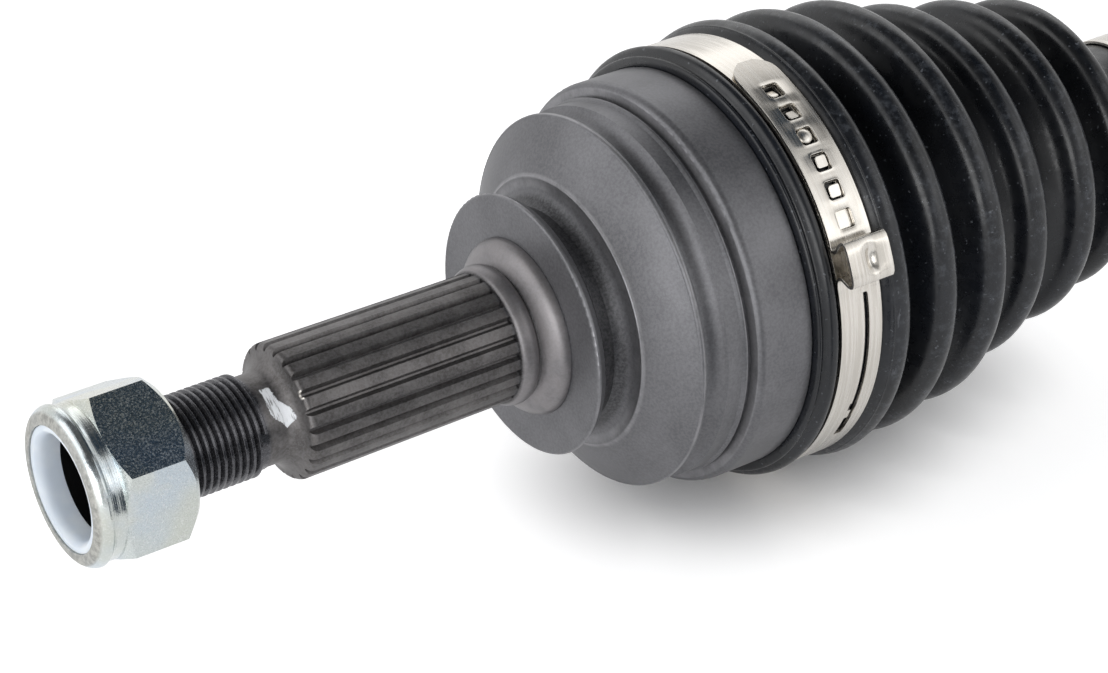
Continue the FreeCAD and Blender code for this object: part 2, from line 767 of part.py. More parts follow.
def bellows(start, seat, bead_radius, crests, neck):
    """Rubber boot along +X from a joint's centre at the origin: its collar with a lip and a seat for
    the band, a thick bead, the convolutions and the narrow collar on the bar."""
    collar = seat + collar_wall
    band_start = start + large_band_from_lip
    bead = band_start + large_band_width + bead_from_band
    peaks = [(bead, bead_radius)] + crests
    foot = crest_half_width + bead_foot
    neck_radius_outside = bar_radius + neck_wall
    outside = [
        (start, seat),
        (start, seat + lip_height - lip_round),
        (start + lip_width / 2, seat + lip_height + lip_round, 0.4 * lip_round),
        (band_start - lip_round / 2, collar, 0.4 * lip_round),
        (bead - foot, collar),
    ] + convolutions(peaks, 0) + [
        (neck[0] - neck_slope / 2, neck_radius_outside + neck_round),
        (neck[0], neck_radius_outside),
        (neck[1] - neck_round, neck_radius_outside),
        (neck[1], neck_radius_outside - neck_round, round_rise * neck_round),
        (neck[1], bar_radius),
    ]
    inside = [(bead - foot, seat)] + convolutions(peaks, boot_wall) + [
        (neck[0] - neck_slope / 2, neck_radius_outside - boot_wall + neck_round),
        (neck[0], bar_radius),
    ]
    bridge = Part.LineSegment(V(neck[1], 0, bar_radius), V(neck[0], 0, bar_radius)).toShape()
    closing = Part.LineSegment(V(start, 0, seat), V(bead - foot, 0, seat)).toShape()
    wire = Part.Wire(Part.__sortEdges__(path(outside) + [bridge] + path(inside) + [closing]))
    return Part.Face(wire).revolve(centre, along, 360)


def mirrored_to(shape, station):
    """Shape flipped end for end and set at a station, for the joint at the bar's other end."""
    flipped = shape.mirror(centre, along)
    flipped.translate(V(station, 0, 0))
    return flipped


def rounded_block(length, width, height, low, radius):
    """Block across the shaft with its two upper long edges rounded."""
    block = Part.makeBox(length, width, height, low)
    top = block.BoundBox.ZMax
    edges = [edge for edge in block.Edges
             if abs(edge.tangentAt(edge.FirstParameter).x) > 0.9 and edge.BoundBox.ZMin > top - radius / 2]
    return block.makeFillet(radius, edges)


def band_slice(start, width, low, high, first_angle, last_angle):
    """Stretch of a band between two radii and two angles round the shaft."""
    section = turned([(start, low), (start, high), (start + width, high), (start + width, low)],
                     last_angle - first_angle)
    return turn_about_shaft(section, first_angle)


def ear_clamp(start, width, seat, tongue, slot_length, turn):
    """Band clamp from one strip: the band, its overlapping tongue with windows, the closed ear that
    tightens it, and a slot behind the ear."""
    inside = seat + band_gap
    outside = inside + band_thickness
    top = outside + band_thickness
    half_ear = degrees(ear_length / 2 / top)
    band = band_slice(start, width, inside, outside, 0, 360)
    layer = band_slice(start, width, outside, top, -half_ear - degrees(tongue / top),
                       ear_root_overlap - half_ear)
    ear = rounded_block(width, ear_length, ear_height, V(start, -ear_length / 2, inside), ear_round)
    hollow = rounded_block(width + 2 * overrun, ear_length - 2 * band_thickness,
                           ear_height - band_thickness,
                           V(start - overrun, band_thickness - ear_length / 2, inside),
                           ear_round - band_thickness)
    ear = ear.cut(hollow).cut(rod(inside, start - overrun, start + width + overrun))
    window = window_share * width
    middle = start + width / 2
    hole = Part.makeBox(window, window, ear_height, V(middle - window / 2, -window / 2, outside))
    pitch = degrees(window_pitch / top)
    count = min(window_count, int(tongue / window_pitch) - 1)
    holes = [turn_about_shaft(hole, -half_ear - pitch * (place + first_window)) for place in range(count)]
    slot_start = half_ear + slot_from_ear
    slot = band_slice(middle - slot_width / 2, slot_width, seat - overrun, top + overrun,
                      slot_start, slot_start + degrees(slot_length / top))
    clamp = band.fuse([layer.cut(holes), ear]).cut(slot).removeSplitter()
    return turn_about_shaft(clamp, turn)


def save(node, shape):
    shape.exportStep("parts/" + node + ".step")
    print(node, round(shape.Volume / 1000, 2), "cm3", "valid" if shape.isValid() else "NOT VALID")


os.makedirs("parts", exist_ok=True)

# Fixed joint at the hub end
save("outer_joint_bell", outer_joint_bell())
save("hub_nut", hub_nut())
save("nut_locking_ring", nut_locking_ring())
save("ball_cage", ball_cage())
for number, ball in enumerate(balls(), 1):
    save("ball_%d" % number, ball)
save("inner_race", inner_race())
save("race_circlip", circlip(joint_x - race_width / 2 - seat_clearance - circlip_width,
                             bar_end_radius - circlip_depth, circlip_width, circlip_height))

# Bar
save("axle_bar", axle_bar())

# Sliding joint at the gearbox end
save("tripod_spider", tripod_spider())
save("spider_circlip", circlip(tripod_x + spider_width / 2 + seat_clearance,
                               bar_end_radius - circlip_depth, circlip_width, circlip_height))
for place in range(trunnion_count):
    number = place + 1
    save("roller_%d" % number, on_trunnion(roller(), place))
    save("needle_rollers_%d" % number, on_trunnion(needle_set(), place))
    save("roller_washer_%d" % number, on_trunnion(roller_washer(), place))
save("tulip_housing", tulip_housing())
save("gearbox_circlip", gearbox_circlip())

# Boots and their clamps
outer_start = edge_gap - boot_seat_from_joint
outer_boot = bellows(outer_start, boot_seat_radius, outer_bead_radius, outer_boot_crests, outer_boot_neck)
outer_boot.translate(V(joint_x, 0, 0))
save("outer_boot", outer_boot)
inner_start = edge_gap + inner_boot_seat
inner_boot = bellows(inner_start, housing_seat_radius, inner_bead_radius, inner_boot_crests, inner_boot_neck)
save("inner_boot", mirrored_to(inner_boot, tripod_x))

neck_outside = bar_radius + neck_wall
half_band = small_band_width / 2
save("outer_boot_large_clamp",
     ear_clamp(joint_x + outer_start + large_band_from_lip, large_band_width,
               boot_seat_radius + collar_wall, large_tongue_length, large_slot_length, ear_angle))
save("outer_boot_small_clamp",
     ear_clamp(joint_x + sum(outer_boot_neck) / 2 - half_band, small_band_width,
               neck_outside, small_tongue_length, small_slot_length, small_ear_angle))
save("inner_boot_small_clamp",
     ear_clamp(tripod_x - sum(inner_boot_neck) / 2 - half_band, small_band_width,
               neck_outside, small_tongue_length, small_slot_length, small_ear_angle))
save("inner_boot_large_clamp",
     ear_clamp(tripod_x - inner_start - large_band_from_lip - large_band_width, large_band_width,
               housing_seat_radius + collar_wall, large_tongue_length, large_slot_length, ear_angle))
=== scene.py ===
import math
import bpy
import bmesh
from mathutils import Matrix, Vector


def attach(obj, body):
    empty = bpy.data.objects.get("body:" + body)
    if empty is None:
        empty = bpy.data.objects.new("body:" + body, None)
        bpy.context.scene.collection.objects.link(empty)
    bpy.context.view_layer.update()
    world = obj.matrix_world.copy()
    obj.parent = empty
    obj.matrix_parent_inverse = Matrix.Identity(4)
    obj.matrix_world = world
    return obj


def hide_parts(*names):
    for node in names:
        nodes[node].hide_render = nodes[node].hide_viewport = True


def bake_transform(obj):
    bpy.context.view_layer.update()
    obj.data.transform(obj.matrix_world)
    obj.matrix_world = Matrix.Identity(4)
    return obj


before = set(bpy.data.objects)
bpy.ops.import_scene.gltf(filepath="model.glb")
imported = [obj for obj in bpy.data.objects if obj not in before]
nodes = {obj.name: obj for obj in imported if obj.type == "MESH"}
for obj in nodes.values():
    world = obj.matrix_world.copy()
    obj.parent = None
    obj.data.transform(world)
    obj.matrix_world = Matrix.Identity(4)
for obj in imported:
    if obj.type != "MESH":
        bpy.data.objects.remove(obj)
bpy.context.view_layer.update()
scene = bpy.context.scene

# Stations along the shaft in mm, from the smooth hub seat
jointX = 48.0
tripodX = 428.0


def mm(*values):
    scaled = tuple(value / 1000 for value in values)
    return scaled if len(scaled) > 1 else scaled[0]


def linearColour(code):
    parts = [int(code[i:i + 2], 16) / 255 for i in (1, 3, 5)]
    linear = [c / 12.92 if c <= 0.04045 else ((c + 0.055) / 1.055) ** 2.4 for c in parts]
    return (*linear, 1.0)


def addNode(tree, kind, inputs=None, **settings):
    node = tree.nodes.new(kind)
    for name, value in settings.items():
        setattr(node, name, value)
    for socket, value in (inputs or {}).items():
        if isinstance(value, bpy.types.NodeSocket):
            tree.links.new(value, node.inputs[socket])
        else:
            node.inputs[socket].default_value = value
    return node


def newFinish(name, metallic, roughness, **sockets):
    finish = bpy.data.materials.new(name)
    finish.use_nodes = True
    tree = finish.node_tree
    shader = tree.nodes["Principled BSDF"]
    shader.inputs["Metallic"].default_value = metallic
    shader.inputs["Roughness"].default_value = roughness
    for socket, value in sockets.items():
        shader.inputs[socket.replace("_", " ")].default_value = value
    place = addNode(tree, "ShaderNodeTexCoord").outputs["Object"]
    return finish, tree, shader, place


def grain(tree, place, size, detail=2.0, rough=0.5):
    # size is the width of one grain in mm
    return addNode(tree, "ShaderNodeTexNoise", {
        "Vector": place, "Scale": 500.0 / size, "Detail": detail, "Roughness": rough}).outputs["Fac"]


def between(tree, value, low, high, start=0.0, end=1.0):
    # value from low to high becomes start to end, with soft ends
    return addNode(tree, "ShaderNodeMapRange", {
        0: value, 1: low, 2: high, 3: start, 4: end}, interpolation_type="SMOOTHSTEP").outputs[0]


def reckon(tree, operation, first, second=0.0, third=0.0):
    return addNode(tree, "ShaderNodeMath", {0: first, 1: second, 2: third},
                   operation=operation).outputs[0]


def blendColours(tree, factor, first, second):
    node = addNode(tree, "ShaderNodeMix", {0: factor}, data_type="RGBA")
    for slot, colour in ((6, first), (7, second)):
        if isinstance(colour, str):
            node.inputs[slot].default_value = linearColour(colour)
        else:
            tree.links.new(colour, node.inputs[slot])
    return node.outputs[2]


def bumpFrom(tree, height, depth, normal=None):
    # depth is the height of the relief in mm
    inputs = {"Height": height, "Distance": depth / 1000, "Strength": 1.0}
    if normal:
        inputs["Normal"] = normal
    return addNode(tree, "ShaderNodeBump", inputs).outputs["Normal"]


def along(tree, place):
    # station and distance from the axis in mm, and the turn about it
    parts = addNode(tree, "ShaderNodeSeparateXYZ", {0: place}).outputs
    station = reckon(tree, "MULTIPLY", parts[0], 1000.0)
    squares = reckon(tree, "ADD", reckon(tree, "MULTIPLY", parts[1], parts[1]),
                     reckon(tree, "MULTIPLY", parts[2], parts[2]))
    radius = reckon(tree, "MULTIPLY", reckon(tree, "SQRT", squares), 1000.0)
    # degrees from the top towards the near side
    near = reckon(tree, "MULTIPLY", parts[1], -1.0)
    turn = reckon(tree, "MULTIPLY", reckon(tree, "ARCTAN2", near, parts[2]), 180 / math.pi)
    return station, radius, turn


def within(tree, value, low, high, edge):
    # 1 between low and high, fading out over edge
    rising = between(tree, value, low - edge, low + edge)
    falling = between(tree, value, high - edge, high + edge, 1.0, 0.0)
    return reckon(tree, "MULTIPLY", rising, falling)


def drawnGrain(tree, place, scale, detail=2.0, rough=0.5, wander=0.0):
    # grain whose scale differs along and across the shaft
    drawn = addNode(tree, "ShaderNodeMapping", {"Vector": place, "Scale": scale}).outputs[0]
    inputs = {"Vector": drawn, "Scale": 1.0, "Detail": detail, "Roughness": rough, "Distortion": wander}
    return addNode(tree, "ShaderNodeTexNoise", inputs).outputs["Fac"]


def ringPattern(tree, place, pitch, wander=0.15):
    # turned lines round the shaft, pitch apart in mm
    waver = addNode(tree, "ShaderNodeMapping", {"Vector": place, "Scale": (1.0, 0.12, 0.12)}).outputs[0]
    return drawnGrain(tree, waver, (500.0 / pitch, 18.0, 18.0), 3.0, 0.6, wander)


def patches(tree, place, size, first, second, detail=3.0, rough=0.5, low=0.35, high=0.65):
    # two colours in soft patches, size across in mm
    share = between(tree, grain(tree, place, size, detail, rough), low, high)
    return blendColours(tree, share, first, second)


# Phosphated forged steel: dark grey crystals a few hundredths of a mm across, so the turned surface is satin,
# with a paler burnish on its edges that is partly worn metal and partly a painted highlight. A mark's station
# and radius are in mm and its turn in degrees, and an edge gives the radius where it starts and where it is
# full
bellMarks = {
    "stubEnd": (-3.4, -2.2), "threadEnd": (-55.8, -54.6),
    "bare": (-2.6, 5.7), "bareEdge": (18.25, 18.0),
    "groove": (1.55, 2.05), "grooveEdge": (13.8, 13.4),
    "foot": (-2.8, -2.2), "footEdge": (13.9, 13.6),
    "waist": (8.9, 14.6), "waistEdge": (28.0, 26.0),
    "skirtEdge": (21.8, 22.3), "ridges": ((15.3, 15.7), (31.8, 32.1), (33.0, 33.2)),
    "rim": (6.1, 6.8), "rimEdge": (25.9, 26.4),
    "nick": (-48.75, -48.35), "nickTurn": (43.5, 51.0), "nickEdge": (11.7, 12.1),
    "coarse": ((23.2, 27.6, 0.3), (2.2, 5.7, 0.2)),
}
# paint dabbed on the neck behind the thread: an edge is (turn from, turn to, station from, station to)
paintMark = {
    "first": (52.0, 82.0, -53.85, -51.0), "last": (34.0, 64.0, -51.7, -49.7), "taper": (64.0, 78.0, 0.0, 1.9),
    "start": 20.5, "end": (75.5, 77.5), "ragged": 1.3,
}


def paintOnNeck(tree, place, station, turn):
    d = paintMark
    ragged = reckon(tree, "MULTIPLY_ADD", grain(tree, place, 0.7, 5.0, 0.75), d["ragged"], -d["ragged"] / 2)
    first = reckon(tree, "ADD", between(tree, turn, *d["first"]), ragged)
    last = reckon(tree, "SUBTRACT", between(tree, turn, *d["last"]), ragged)
    last = reckon(tree, "SUBTRACT", last, between(tree, turn, *d["taper"]))
    side = reckon(tree, "MINIMUM", reckon(tree, "SUBTRACT", station, first),
                  reckon(tree, "SUBTRACT", last, station))
    start = reckon(tree, "MULTIPLY_ADD", ragged, 5.0, d["start"])
    paint = reckon(tree, "MULTIPLY", between(tree, side, -0.06, 0.08),
                   between(tree, reckon(tree, "SUBTRACT", turn, start), -1.0, 1.0))
    paint = reckon(tree, "MULTIPLY", paint, between(tree, turn, *d["end"], 1.0, 0.0))
    strokes = drawnGrain(tree, place, (3500.0, 420.0, 420.0), 3.0)
    return reckon(tree, "MULTIPLY", paint, between(tree, strokes, 0.36, 0.46, 0.35, 1.0))


def wornEdgesAndPaintedHighlight(tree, place, station, radius):
    # skirt, ridges in front of the body, and flange rim, lightened as worn metal and as painted highlight
    d = bellMarks
    edges = within(tree, station, *d["skirtEdge"], 0.15)
    for low, high in d["ridges"]:
        edges = reckon(tree, "ADD", edges, within(tree, station, low, high, 0.15))
    rim = reckon(tree, "MULTIPLY", within(tree, station, *d["rim"], 0.2),
                 between(tree, radius, *d["rimEdge"]))
    edges = reckon(tree, "MAXIMUM", edges, reckon(tree, "MULTIPLY", rim, 0.8))
    return reckon(tree, "MULTIPLY", edges, between(tree, grain(tree, place, 2.2, 4.0), 0.3, 0.6, 0.35, 0.9))


def phosphatedForging():
    d = bellMarks
    finish, tree, shader, place = newFinish("phosphatedForgedSteel", 0.75, 0.45)
    station, radius, turn = along(tree, place)
    crystals = grain(tree, place, 0.3, 2.0, 0.7)
    body = patches(tree, place, 7.0, "#646467", "#707073")
    stub = patches(tree, place, 3.0, "#545150", "#676463", 4.0, 0.6, 0.38, 0.62)
    threadSteel = "#47474b"
    colour = blendColours(tree, between(tree, station, *d["stubEnd"]), stub, body)
    colour = blendColours(tree, between(tree, station, *d["threadEnd"], 1.0, 0.0), colour, threadSteel)
    # the hub seat and the step behind it are barer, a little brown, and painted shade darkens the groove
    # between them and the seat's foot
    bare = reckon(tree, "MULTIPLY", within(tree, station, *d["bare"], 0.1),
                  between(tree, radius, *d["bareEdge"]))
    worn = between(tree, grain(tree, place, 2.6, 4.0, 0.6), 0.25, 0.6, 0.5, 1.0)
    bare = reckon(tree, "MULTIPLY", bare, worn)
    colour = blendColours(tree, reckon(tree, "MULTIPLY", bare, 0.85), colour, "#8e8a8b")
    groove = reckon(tree, "MULTIPLY", within(tree, station, *d["groove"], 0.12),
                    between(tree, radius, *d["grooveEdge"]))
    foot = reckon(tree, "MULTIPLY", within(tree, station, *d["foot"], 0.25),
                  between(tree, radius, *d["footEdge"]))
    # painted shade: the groove and the seat's foot are darkened
    recessShade = reckon(tree, "MAXIMUM", groove, foot)
    colour = blendColours(tree, reckon(tree, "MULTIPLY", recessShade, 0.8), colour, "#1d1c1c")
    # black scale left in the waist, darkened further with painted shade
    waist = reckon(tree, "MULTIPLY", within(tree, station, *d["waist"], 0.5),
                   between(tree, radius, *d["waistEdge"]))
    colour = blendColours(tree, reckon(tree, "MULTIPLY", waist, 0.75), colour, "#2c2c2e")
    edges = wornEdgesAndPaintedHighlight(tree, place, station, radius)
    # edges lightened, partly as wear and partly as painted highlight
    colour = blendColours(tree, reckon(tree, "MULTIPLY", edges, 0.55), colour, "#a9a8ab")
    colour = blendColours(tree, between(tree, crystals, 0.3, 0.7, 0.0, 0.16), colour, "#b4b4b8")
    paint = paintOnNeck(tree, place, station, turn)
    colour = blendColours(tree, paint, colour, "#f6f9fd")
    # bright nick at the end of one tooth
    nick = reckon(tree, "MULTIPLY", within(tree, station, *d["nick"], 0.08),
                  within(tree, turn, *d["nickTurn"], 0.8))
    nick = reckon(tree, "MULTIPLY", nick, between(tree, radius, *d["nickEdge"]))
    colour = blendColours(tree, nick, colour, "#e6e2dc")
    tree.links.new(colour, shader.inputs["Base Color"])
    tree.links.new(reckon(tree, "MULTIPLY_ADD", paint, -0.75, 0.75), shader.inputs["Metallic"])
    satin = between(tree, crystals, 0.2, 0.8, 0.4, 0.5)
    satin = reckon(tree, "SUBTRACT", satin, reckon(tree, "MULTIPLY", edges, 0.08))
    satin = reckon(tree, "SUBTRACT", satin, between(tree, station, *d["threadEnd"], 0.2, 0.0))
    tree.links.new(satin, shader.inputs["Roughness"])
    # fine turning marks everywhere, coarser by the hub seat and in the hollow behind the skirt
    lines = ringPattern(tree, place, 0.5)
    turned = reckon(tree, "ADD", *[within(tree, station, *stretch) for stretch in d["coarse"]])
    lines = reckon(tree, "MULTIPLY", lines, reckon(tree, "MULTIPLY_ADD", turned, 1.6, 0.5))
    marks = bumpFrom(tree, lines, 0.02)
    marks = bumpFrom(tree, crystals, 0.02, marks)
    marks = bumpFrom(tree, paint, 0.12, marks)
    tree.links.new(marks, shader.inputs["Normal"])
    return finish


# Zinc plate on cold-formed steel: bright, faintly yellow and blue, with a fine crystal sparkle
nutMarks = {
    "lip": (-93.25, -92.75), "lipEdge": (12.0, 12.3), "bore": (-88.5, -88.3), "boreEdge": (11.8, 11.4),
    "collarEnd": (-88.6, -88.0),
}


def zincPlate():
    d = nutMarks
    finish, tree, shader, place = newFinish("brightZincPlatedSteel", 1.0, 0.2)
    station, radius = along(tree, place)[:2]
    tint = between(tree, grain(tree, place, 9.0, 2.0), 0.36, 0.64)
    colour = blendColours(tree, tint, "#cdd1ca", "#c4ced5")
    warm = between(tree, grain(tree, place, 5.0, 3.0), 0.5, 0.7, 0.0, 0.35)
    colour = blendColours(tree, warm, colour, "#dfdcc6")
    sparkle = grain(tree, place, 0.22, 2.0, 0.8)
    colour = blendColours(tree, between(tree, sparkle, 0.5, 0.66, 0.0, 0.35), colour, "#f2f4f4")
    lip = reckon(tree, "MULTIPLY", between(tree, station, *d["lip"], 1.0, 0.0),
                 between(tree, radius, *d["lipEdge"]))
    speckled = patches(tree, place, 0.5, "#8f8e89", "#c2c1bb", 4.0, 0.8)
    colour = blendColours(tree, reckon(tree, "MULTIPLY", lip, 0.85), colour, speckled)
    # painted shade: the bore behind the locking ring is darkened
    bore = reckon(tree, "MULTIPLY", between(tree, radius, *d["boreEdge"]), between(tree, station, *d["bore"]))
    colour = blendColours(tree, bore, colour, "#232323")
    tree.links.new(colour, shader.inputs["Base Color"])
    gloss = between(tree, sparkle, 0.25, 0.75, 0.14, 0.26)
    gloss = reckon(tree, "ADD", gloss, reckon(tree, "MULTIPLY", reckon(tree, "MAXIMUM", lip, bore), 0.25))
    # the forged flats have hazy crystals, drawn wide enough to show; the turned collar has none
    collar = between(tree, station, *d["collarEnd"], 1.0, 0.0)
    haze = between(tree, grain(tree, place, 0.18, 2.0, 0.7), 0.46, 0.66)
    haze = reckon(tree, "MULTIPLY", haze, reckon(tree, "SUBTRACT", 1.0, collar))
    tree.links.new(reckon(tree, "MULTIPLY_ADD", haze, 0.14, gloss), shader.inputs["Roughness"])
    tree.links.new(reckon(tree, "MULTIPLY_ADD", haze, -0.06, 1.0), shader.inputs["Metallic"])
    lines = reckon(tree, "MULTIPLY", ringPattern(tree, place, 0.26, 0.05), collar)
    relief = bumpFrom(tree, lines, 0.09)
    relief = bumpFrom(tree, sparkle, 0.016, relief)
    tree.links.new(relief, shader.inputs["Normal"])
    return finish


# Turned nylon 6: waxy, pale blue-white, a little light passes into it
def nylon():
    finish, tree, shader, place = newFinish(
        "turnedNylon", 0.0, 0.36, IOR=1.53, Subsurface_Weight=0.25, Subsurface_Scale=0.002)
    shader.inputs["Subsurface Radius"].default_value = (1.0, 0.9, 0.8)
    tree.links.new(patches(tree, place, 4.0, "#dde7f2", "#eaf1f8"), shader.inputs["Base Color"])
    tree.links.new(bumpFrom(tree, grain(tree, place, 0.6, 3.0), 0.02), shader.inputs["Normal"])
    return finish


# Moulded chloroprene rubber: blue-black, silky where it was demoulded. Its crests shrink from one
# (station, radius) to another and their tops are dusty, and the bead is scuffed
rubberMarks = {"crests": ((64.0, 45.6), (138.0, 31.8)), "scuffs": (63.5, 67.5)}


def bootRubber():
    finish, tree, shader, place = newFinish("mouldedBootRubber", 0.0, 0.3, IOR=1.5)
    colour = patches(tree, place, 12.0, "#0f1115", "#171a20")
    specks = between(tree, grain(tree, place, 0.4, 1.0, 0.4), 0.72, 0.75)
    colour = blendColours(tree, reckon(tree, "MULTIPLY", specks, 0.3), colour, "#8f949c")
    station, radius = along(tree, place)[:2]
    (firstX, firstR), (lastX, lastR) = rubberMarks["crests"]
    crestRadius = addNode(tree, "ShaderNodeMapRange", {
        0: station, 1: firstX, 2: lastX, 3: firstR, 4: lastR}).outputs[0]
    tops = between(tree, reckon(tree, "SUBTRACT", radius, crestRadius), -1.2, 0.6)
    dust = between(tree, grain(tree, place, 1.2, 5.0, 0.8), 0.46, 0.72, 0.0, 0.3)
    tops = reckon(tree, "MULTIPLY", tops, dust)
    colour = blendColours(tree, tops, colour, "#6f747c")
    scuffs = drawnGrain(tree, place, (900.0, 160.0, 160.0), 4.0, 0.7)
    scuffs = reckon(tree, "MULTIPLY", between(tree, scuffs, 0.64, 0.7),
                    within(tree, station, *rubberMarks["scuffs"], 0.8))
    colour = blendColours(tree, reckon(tree, "MULTIPLY", scuffs, 0.5), colour, "#8d9097")
    tree.links.new(colour, shader.inputs["Base Color"])
    sheen = between(tree, grain(tree, place, 1.4, 4.0), 0.3, 0.7, 0.22, 0.36)
    tree.links.new(sheen, shader.inputs["Roughness"])
    skin = bumpFrom(tree, grain(tree, place, 0.35, 2.0), 0.012)
    skin = bumpFrom(tree, grain(tree, place, 6.0, 2.0), 0.12, skin)
    tree.links.new(skin, shader.inputs["Normal"])
    return finish


# Bright-rolled stainless strip: a soft mirror, drawn out along its length
def stainlessStrip():
    finish, tree, shader, place = newFinish("rolledStainlessStrip", 1.0, 0.25)
    streaks = drawnGrain(tree, place, (1800.0, 60.0, 60.0))
    colour = blendColours(tree, between(tree, streaks, 0.35, 0.65), "#cfcac2", "#dedad3")
    tree.links.new(colour, shader.inputs["Base Color"])
    tree.links.new(between(tree, streaks, 0.25, 0.75, 0.2, 0.32), shader.inputs["Roughness"])
    relief = bumpFrom(tree, streaks, 0.003)
    tree.links.new(bumpFrom(tree, grain(tree, place, 2.5, 2.0), 0.03, relief), shader.inputs["Normal"])
    return finish


# Ground and hardened bearing steel with a film of oil
def hardenedSteel():
    finish, tree, shader, place = newFinish("groundHardenedSteel", 1.0, 0.25)
    tree.links.new(patches(tree, place, 6.0, "#9b9a98", "#adacab"), shader.inputs["Base Color"])
    gloss = between(tree, grain(tree, place, 1.0, 4.0), 0.3, 0.7, 0.18, 0.32)
    tree.links.new(gloss, shader.inputs["Roughness"])
    tree.links.new(bumpFrom(tree, grain(tree, place, 0.3, 2.0), 0.004), shader.inputs["Normal"])
    return finish


# Lapped ball steel: close to a mirror
def ballSteel():
    finish, tree, shader, place = newFinish("lappedBallSteel", 1.0, 0.08)
    tree.links.new(patches(tree, place, 4.0, "#c4c5c6", "#d0d1d2", 2.0), shader.inputs["Base Color"])
    gloss = between(tree, grain(tree, place, 0.8, 3.0), 0.3, 0.7, 0.06, 0.12)
    tree.links.new(gloss, shader.inputs["Roughness"])
    return finish


# Blued spring steel
def springSteel():
    finish, tree, shader, place = newFinish("bluedSpringSteel", 1.0, 0.32)
    tree.links.new(patches(tree, place, 3.0, "#33363d", "#474b54"), shader.inputs["Base Color"])
    gloss = between(tree, grain(tree, place, 0.8, 3.0), 0.3, 0.7, 0.26, 0.4)
    tree.links.new(gloss, shader.inputs["Roughness"])
    return finish


# Electrocoated steel: thin satin black paint with a faint orange peel
def paintedSteel(name, machinedFrom):
    finish, tree, shader, place = newFinish(name, 0.0, 0.34, IOR=1.5)
    station = along(tree, place)[0]
    paint = patches(tree, place, 8.0, "#1b1b1c", "#232425")
    machined = patches(tree, place, 3.0, "#8b8a88", "#9c9b99")
    bare = between(tree, station, machinedFrom - 0.2, machinedFrom + 0.2)
    tree.links.new(blendColours(tree, bare, paint, machined), shader.inputs["Base Color"])
    tree.links.new(bare, shader.inputs["Metallic"])
    peel = grain(tree, place, 1.1, 2.0)
    tree.links.new(between(tree, peel, 0.3, 0.7, 0.28, 0.4), shader.inputs["Roughness"])
    lines = reckon(tree, "MULTIPLY", ringPattern(tree, place, 0.4), bare)
    relief = bumpFrom(tree, lines, 0.01)
    tree.links.new(bumpFrom(tree, peel, 0.02, relief), shader.inputs["Normal"])
    return finish


finishes = {
    "phosphated_steel": phosphatedForging(),
    "zinc_plated_steel": zincPlate(),
    "nylon": nylon(),
    "hardened_steel": hardenedSteel(),
    "ball_steel": ballSteel(),
    "spring_steel": springSteel(),
    "painted_steel": paintedSteel("electrocoatedSteel", 482.3),
    "boot_rubber": bootRubber(),
    "stainless_band": stainlessStrip(),
}
print("finishes made:", len(finishes))

# Every CAD node takes the finish of the slot that it names
for name, item in nodes.items():
    for slot in item.material_slots:
        key = (slot.material.name.split(".")[0] if slot.material else "")
        if key in finishes:
            slot.material = finishes[key]
print("finishes laid on", len(nodes), "nodes")


def newPiece(name, mesh, slotName, body=None):
    data = bpy.data.meshes.new(name)
    mesh.to_mesh(data)
    mesh.free()
    for face in data.polygons:
        face.use_smooth = True
    # normals kept from a CAD mesh no longer fit once its points are merged
    if "custom_normal" in data.attributes:
        data.attributes.remove(data.attributes["custom_normal"])
    piece = bpy.data.objects.new(name, data)
    scene.collection.objects.link(piece)
    data.materials.append(finishes[slotName])
    if body:
        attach(piece, body)
    return piece


def spunMesh(outline, segments, closed):
    # outline is a list of (station, radius) in mm
    mesh = bmesh.new()
    points = [mesh.verts.new((mm(x), 0.0, mm(r))) for x, r in outline]
    lines = [mesh.edges.new(pair) for pair in zip(points, points[1:])]
    if closed:
        lines.append(mesh.edges.new((points[-1], points[0])))
    bmesh.ops.spin(mesh, geom=points + lines, cent=(0, 0, 0), axis=(1, 0, 0), angle=math.tau,
                   steps=segments, use_merge=True)
    bmesh.ops.remove_doubles(mesh, verts=mesh.verts, dist=1e-6)
    bmesh.ops.recalc_face_normals(mesh, faces=mesh.faces)
    return mesh


def bevelled(piece, width, segments=2, angle=35.0):
    bevel = piece.modifiers.new("brokenEdges", "BEVEL")
    bevel.width = mm(width)
    bevel.segments = segments
    bevel.limit_method = "ANGLE"
    bevel.angle_limit = math.radians(angle)
    bevel.harden_normals = True


def rounded(piece, levels):
    soft = piece.modifiers.new("softForm", "SUBSURF")
    soft.levels = levels
    soft.render_levels = levels


# Bell: the forging itself, and the rounded hub seat and step that are turned on it
bellRings = {
    "from": -2.32, "to": 5.85, "core": 13.1, "bore": 12.2, "edge": 28.0,
    "outline": [
        (-2.45, 12.9), (-2.38, 13.2), (-2.15, 13.5), (-1.75, 13.8), (-1.2, 14.03), (-0.5, 14.18),
        (0.15, 14.2), (0.75, 14.08), (1.2, 13.8), (1.5, 13.42), (1.7, 13.24), (1.9, 13.3), (2.1, 13.75),
        (2.4, 14.6), (2.75, 15.45), (3.05, 16.0), (3.45, 16.6), (3.95, 17.2), (4.55, 17.66), (5.2, 17.9),
        (5.95, 18.0), (6.3, 17.9)],
    "rimFrom": 6.6, "rimTo": 8.7, "rimOver": 24.6, "rimTop": 27.0, "rimFall": 0.55,
}


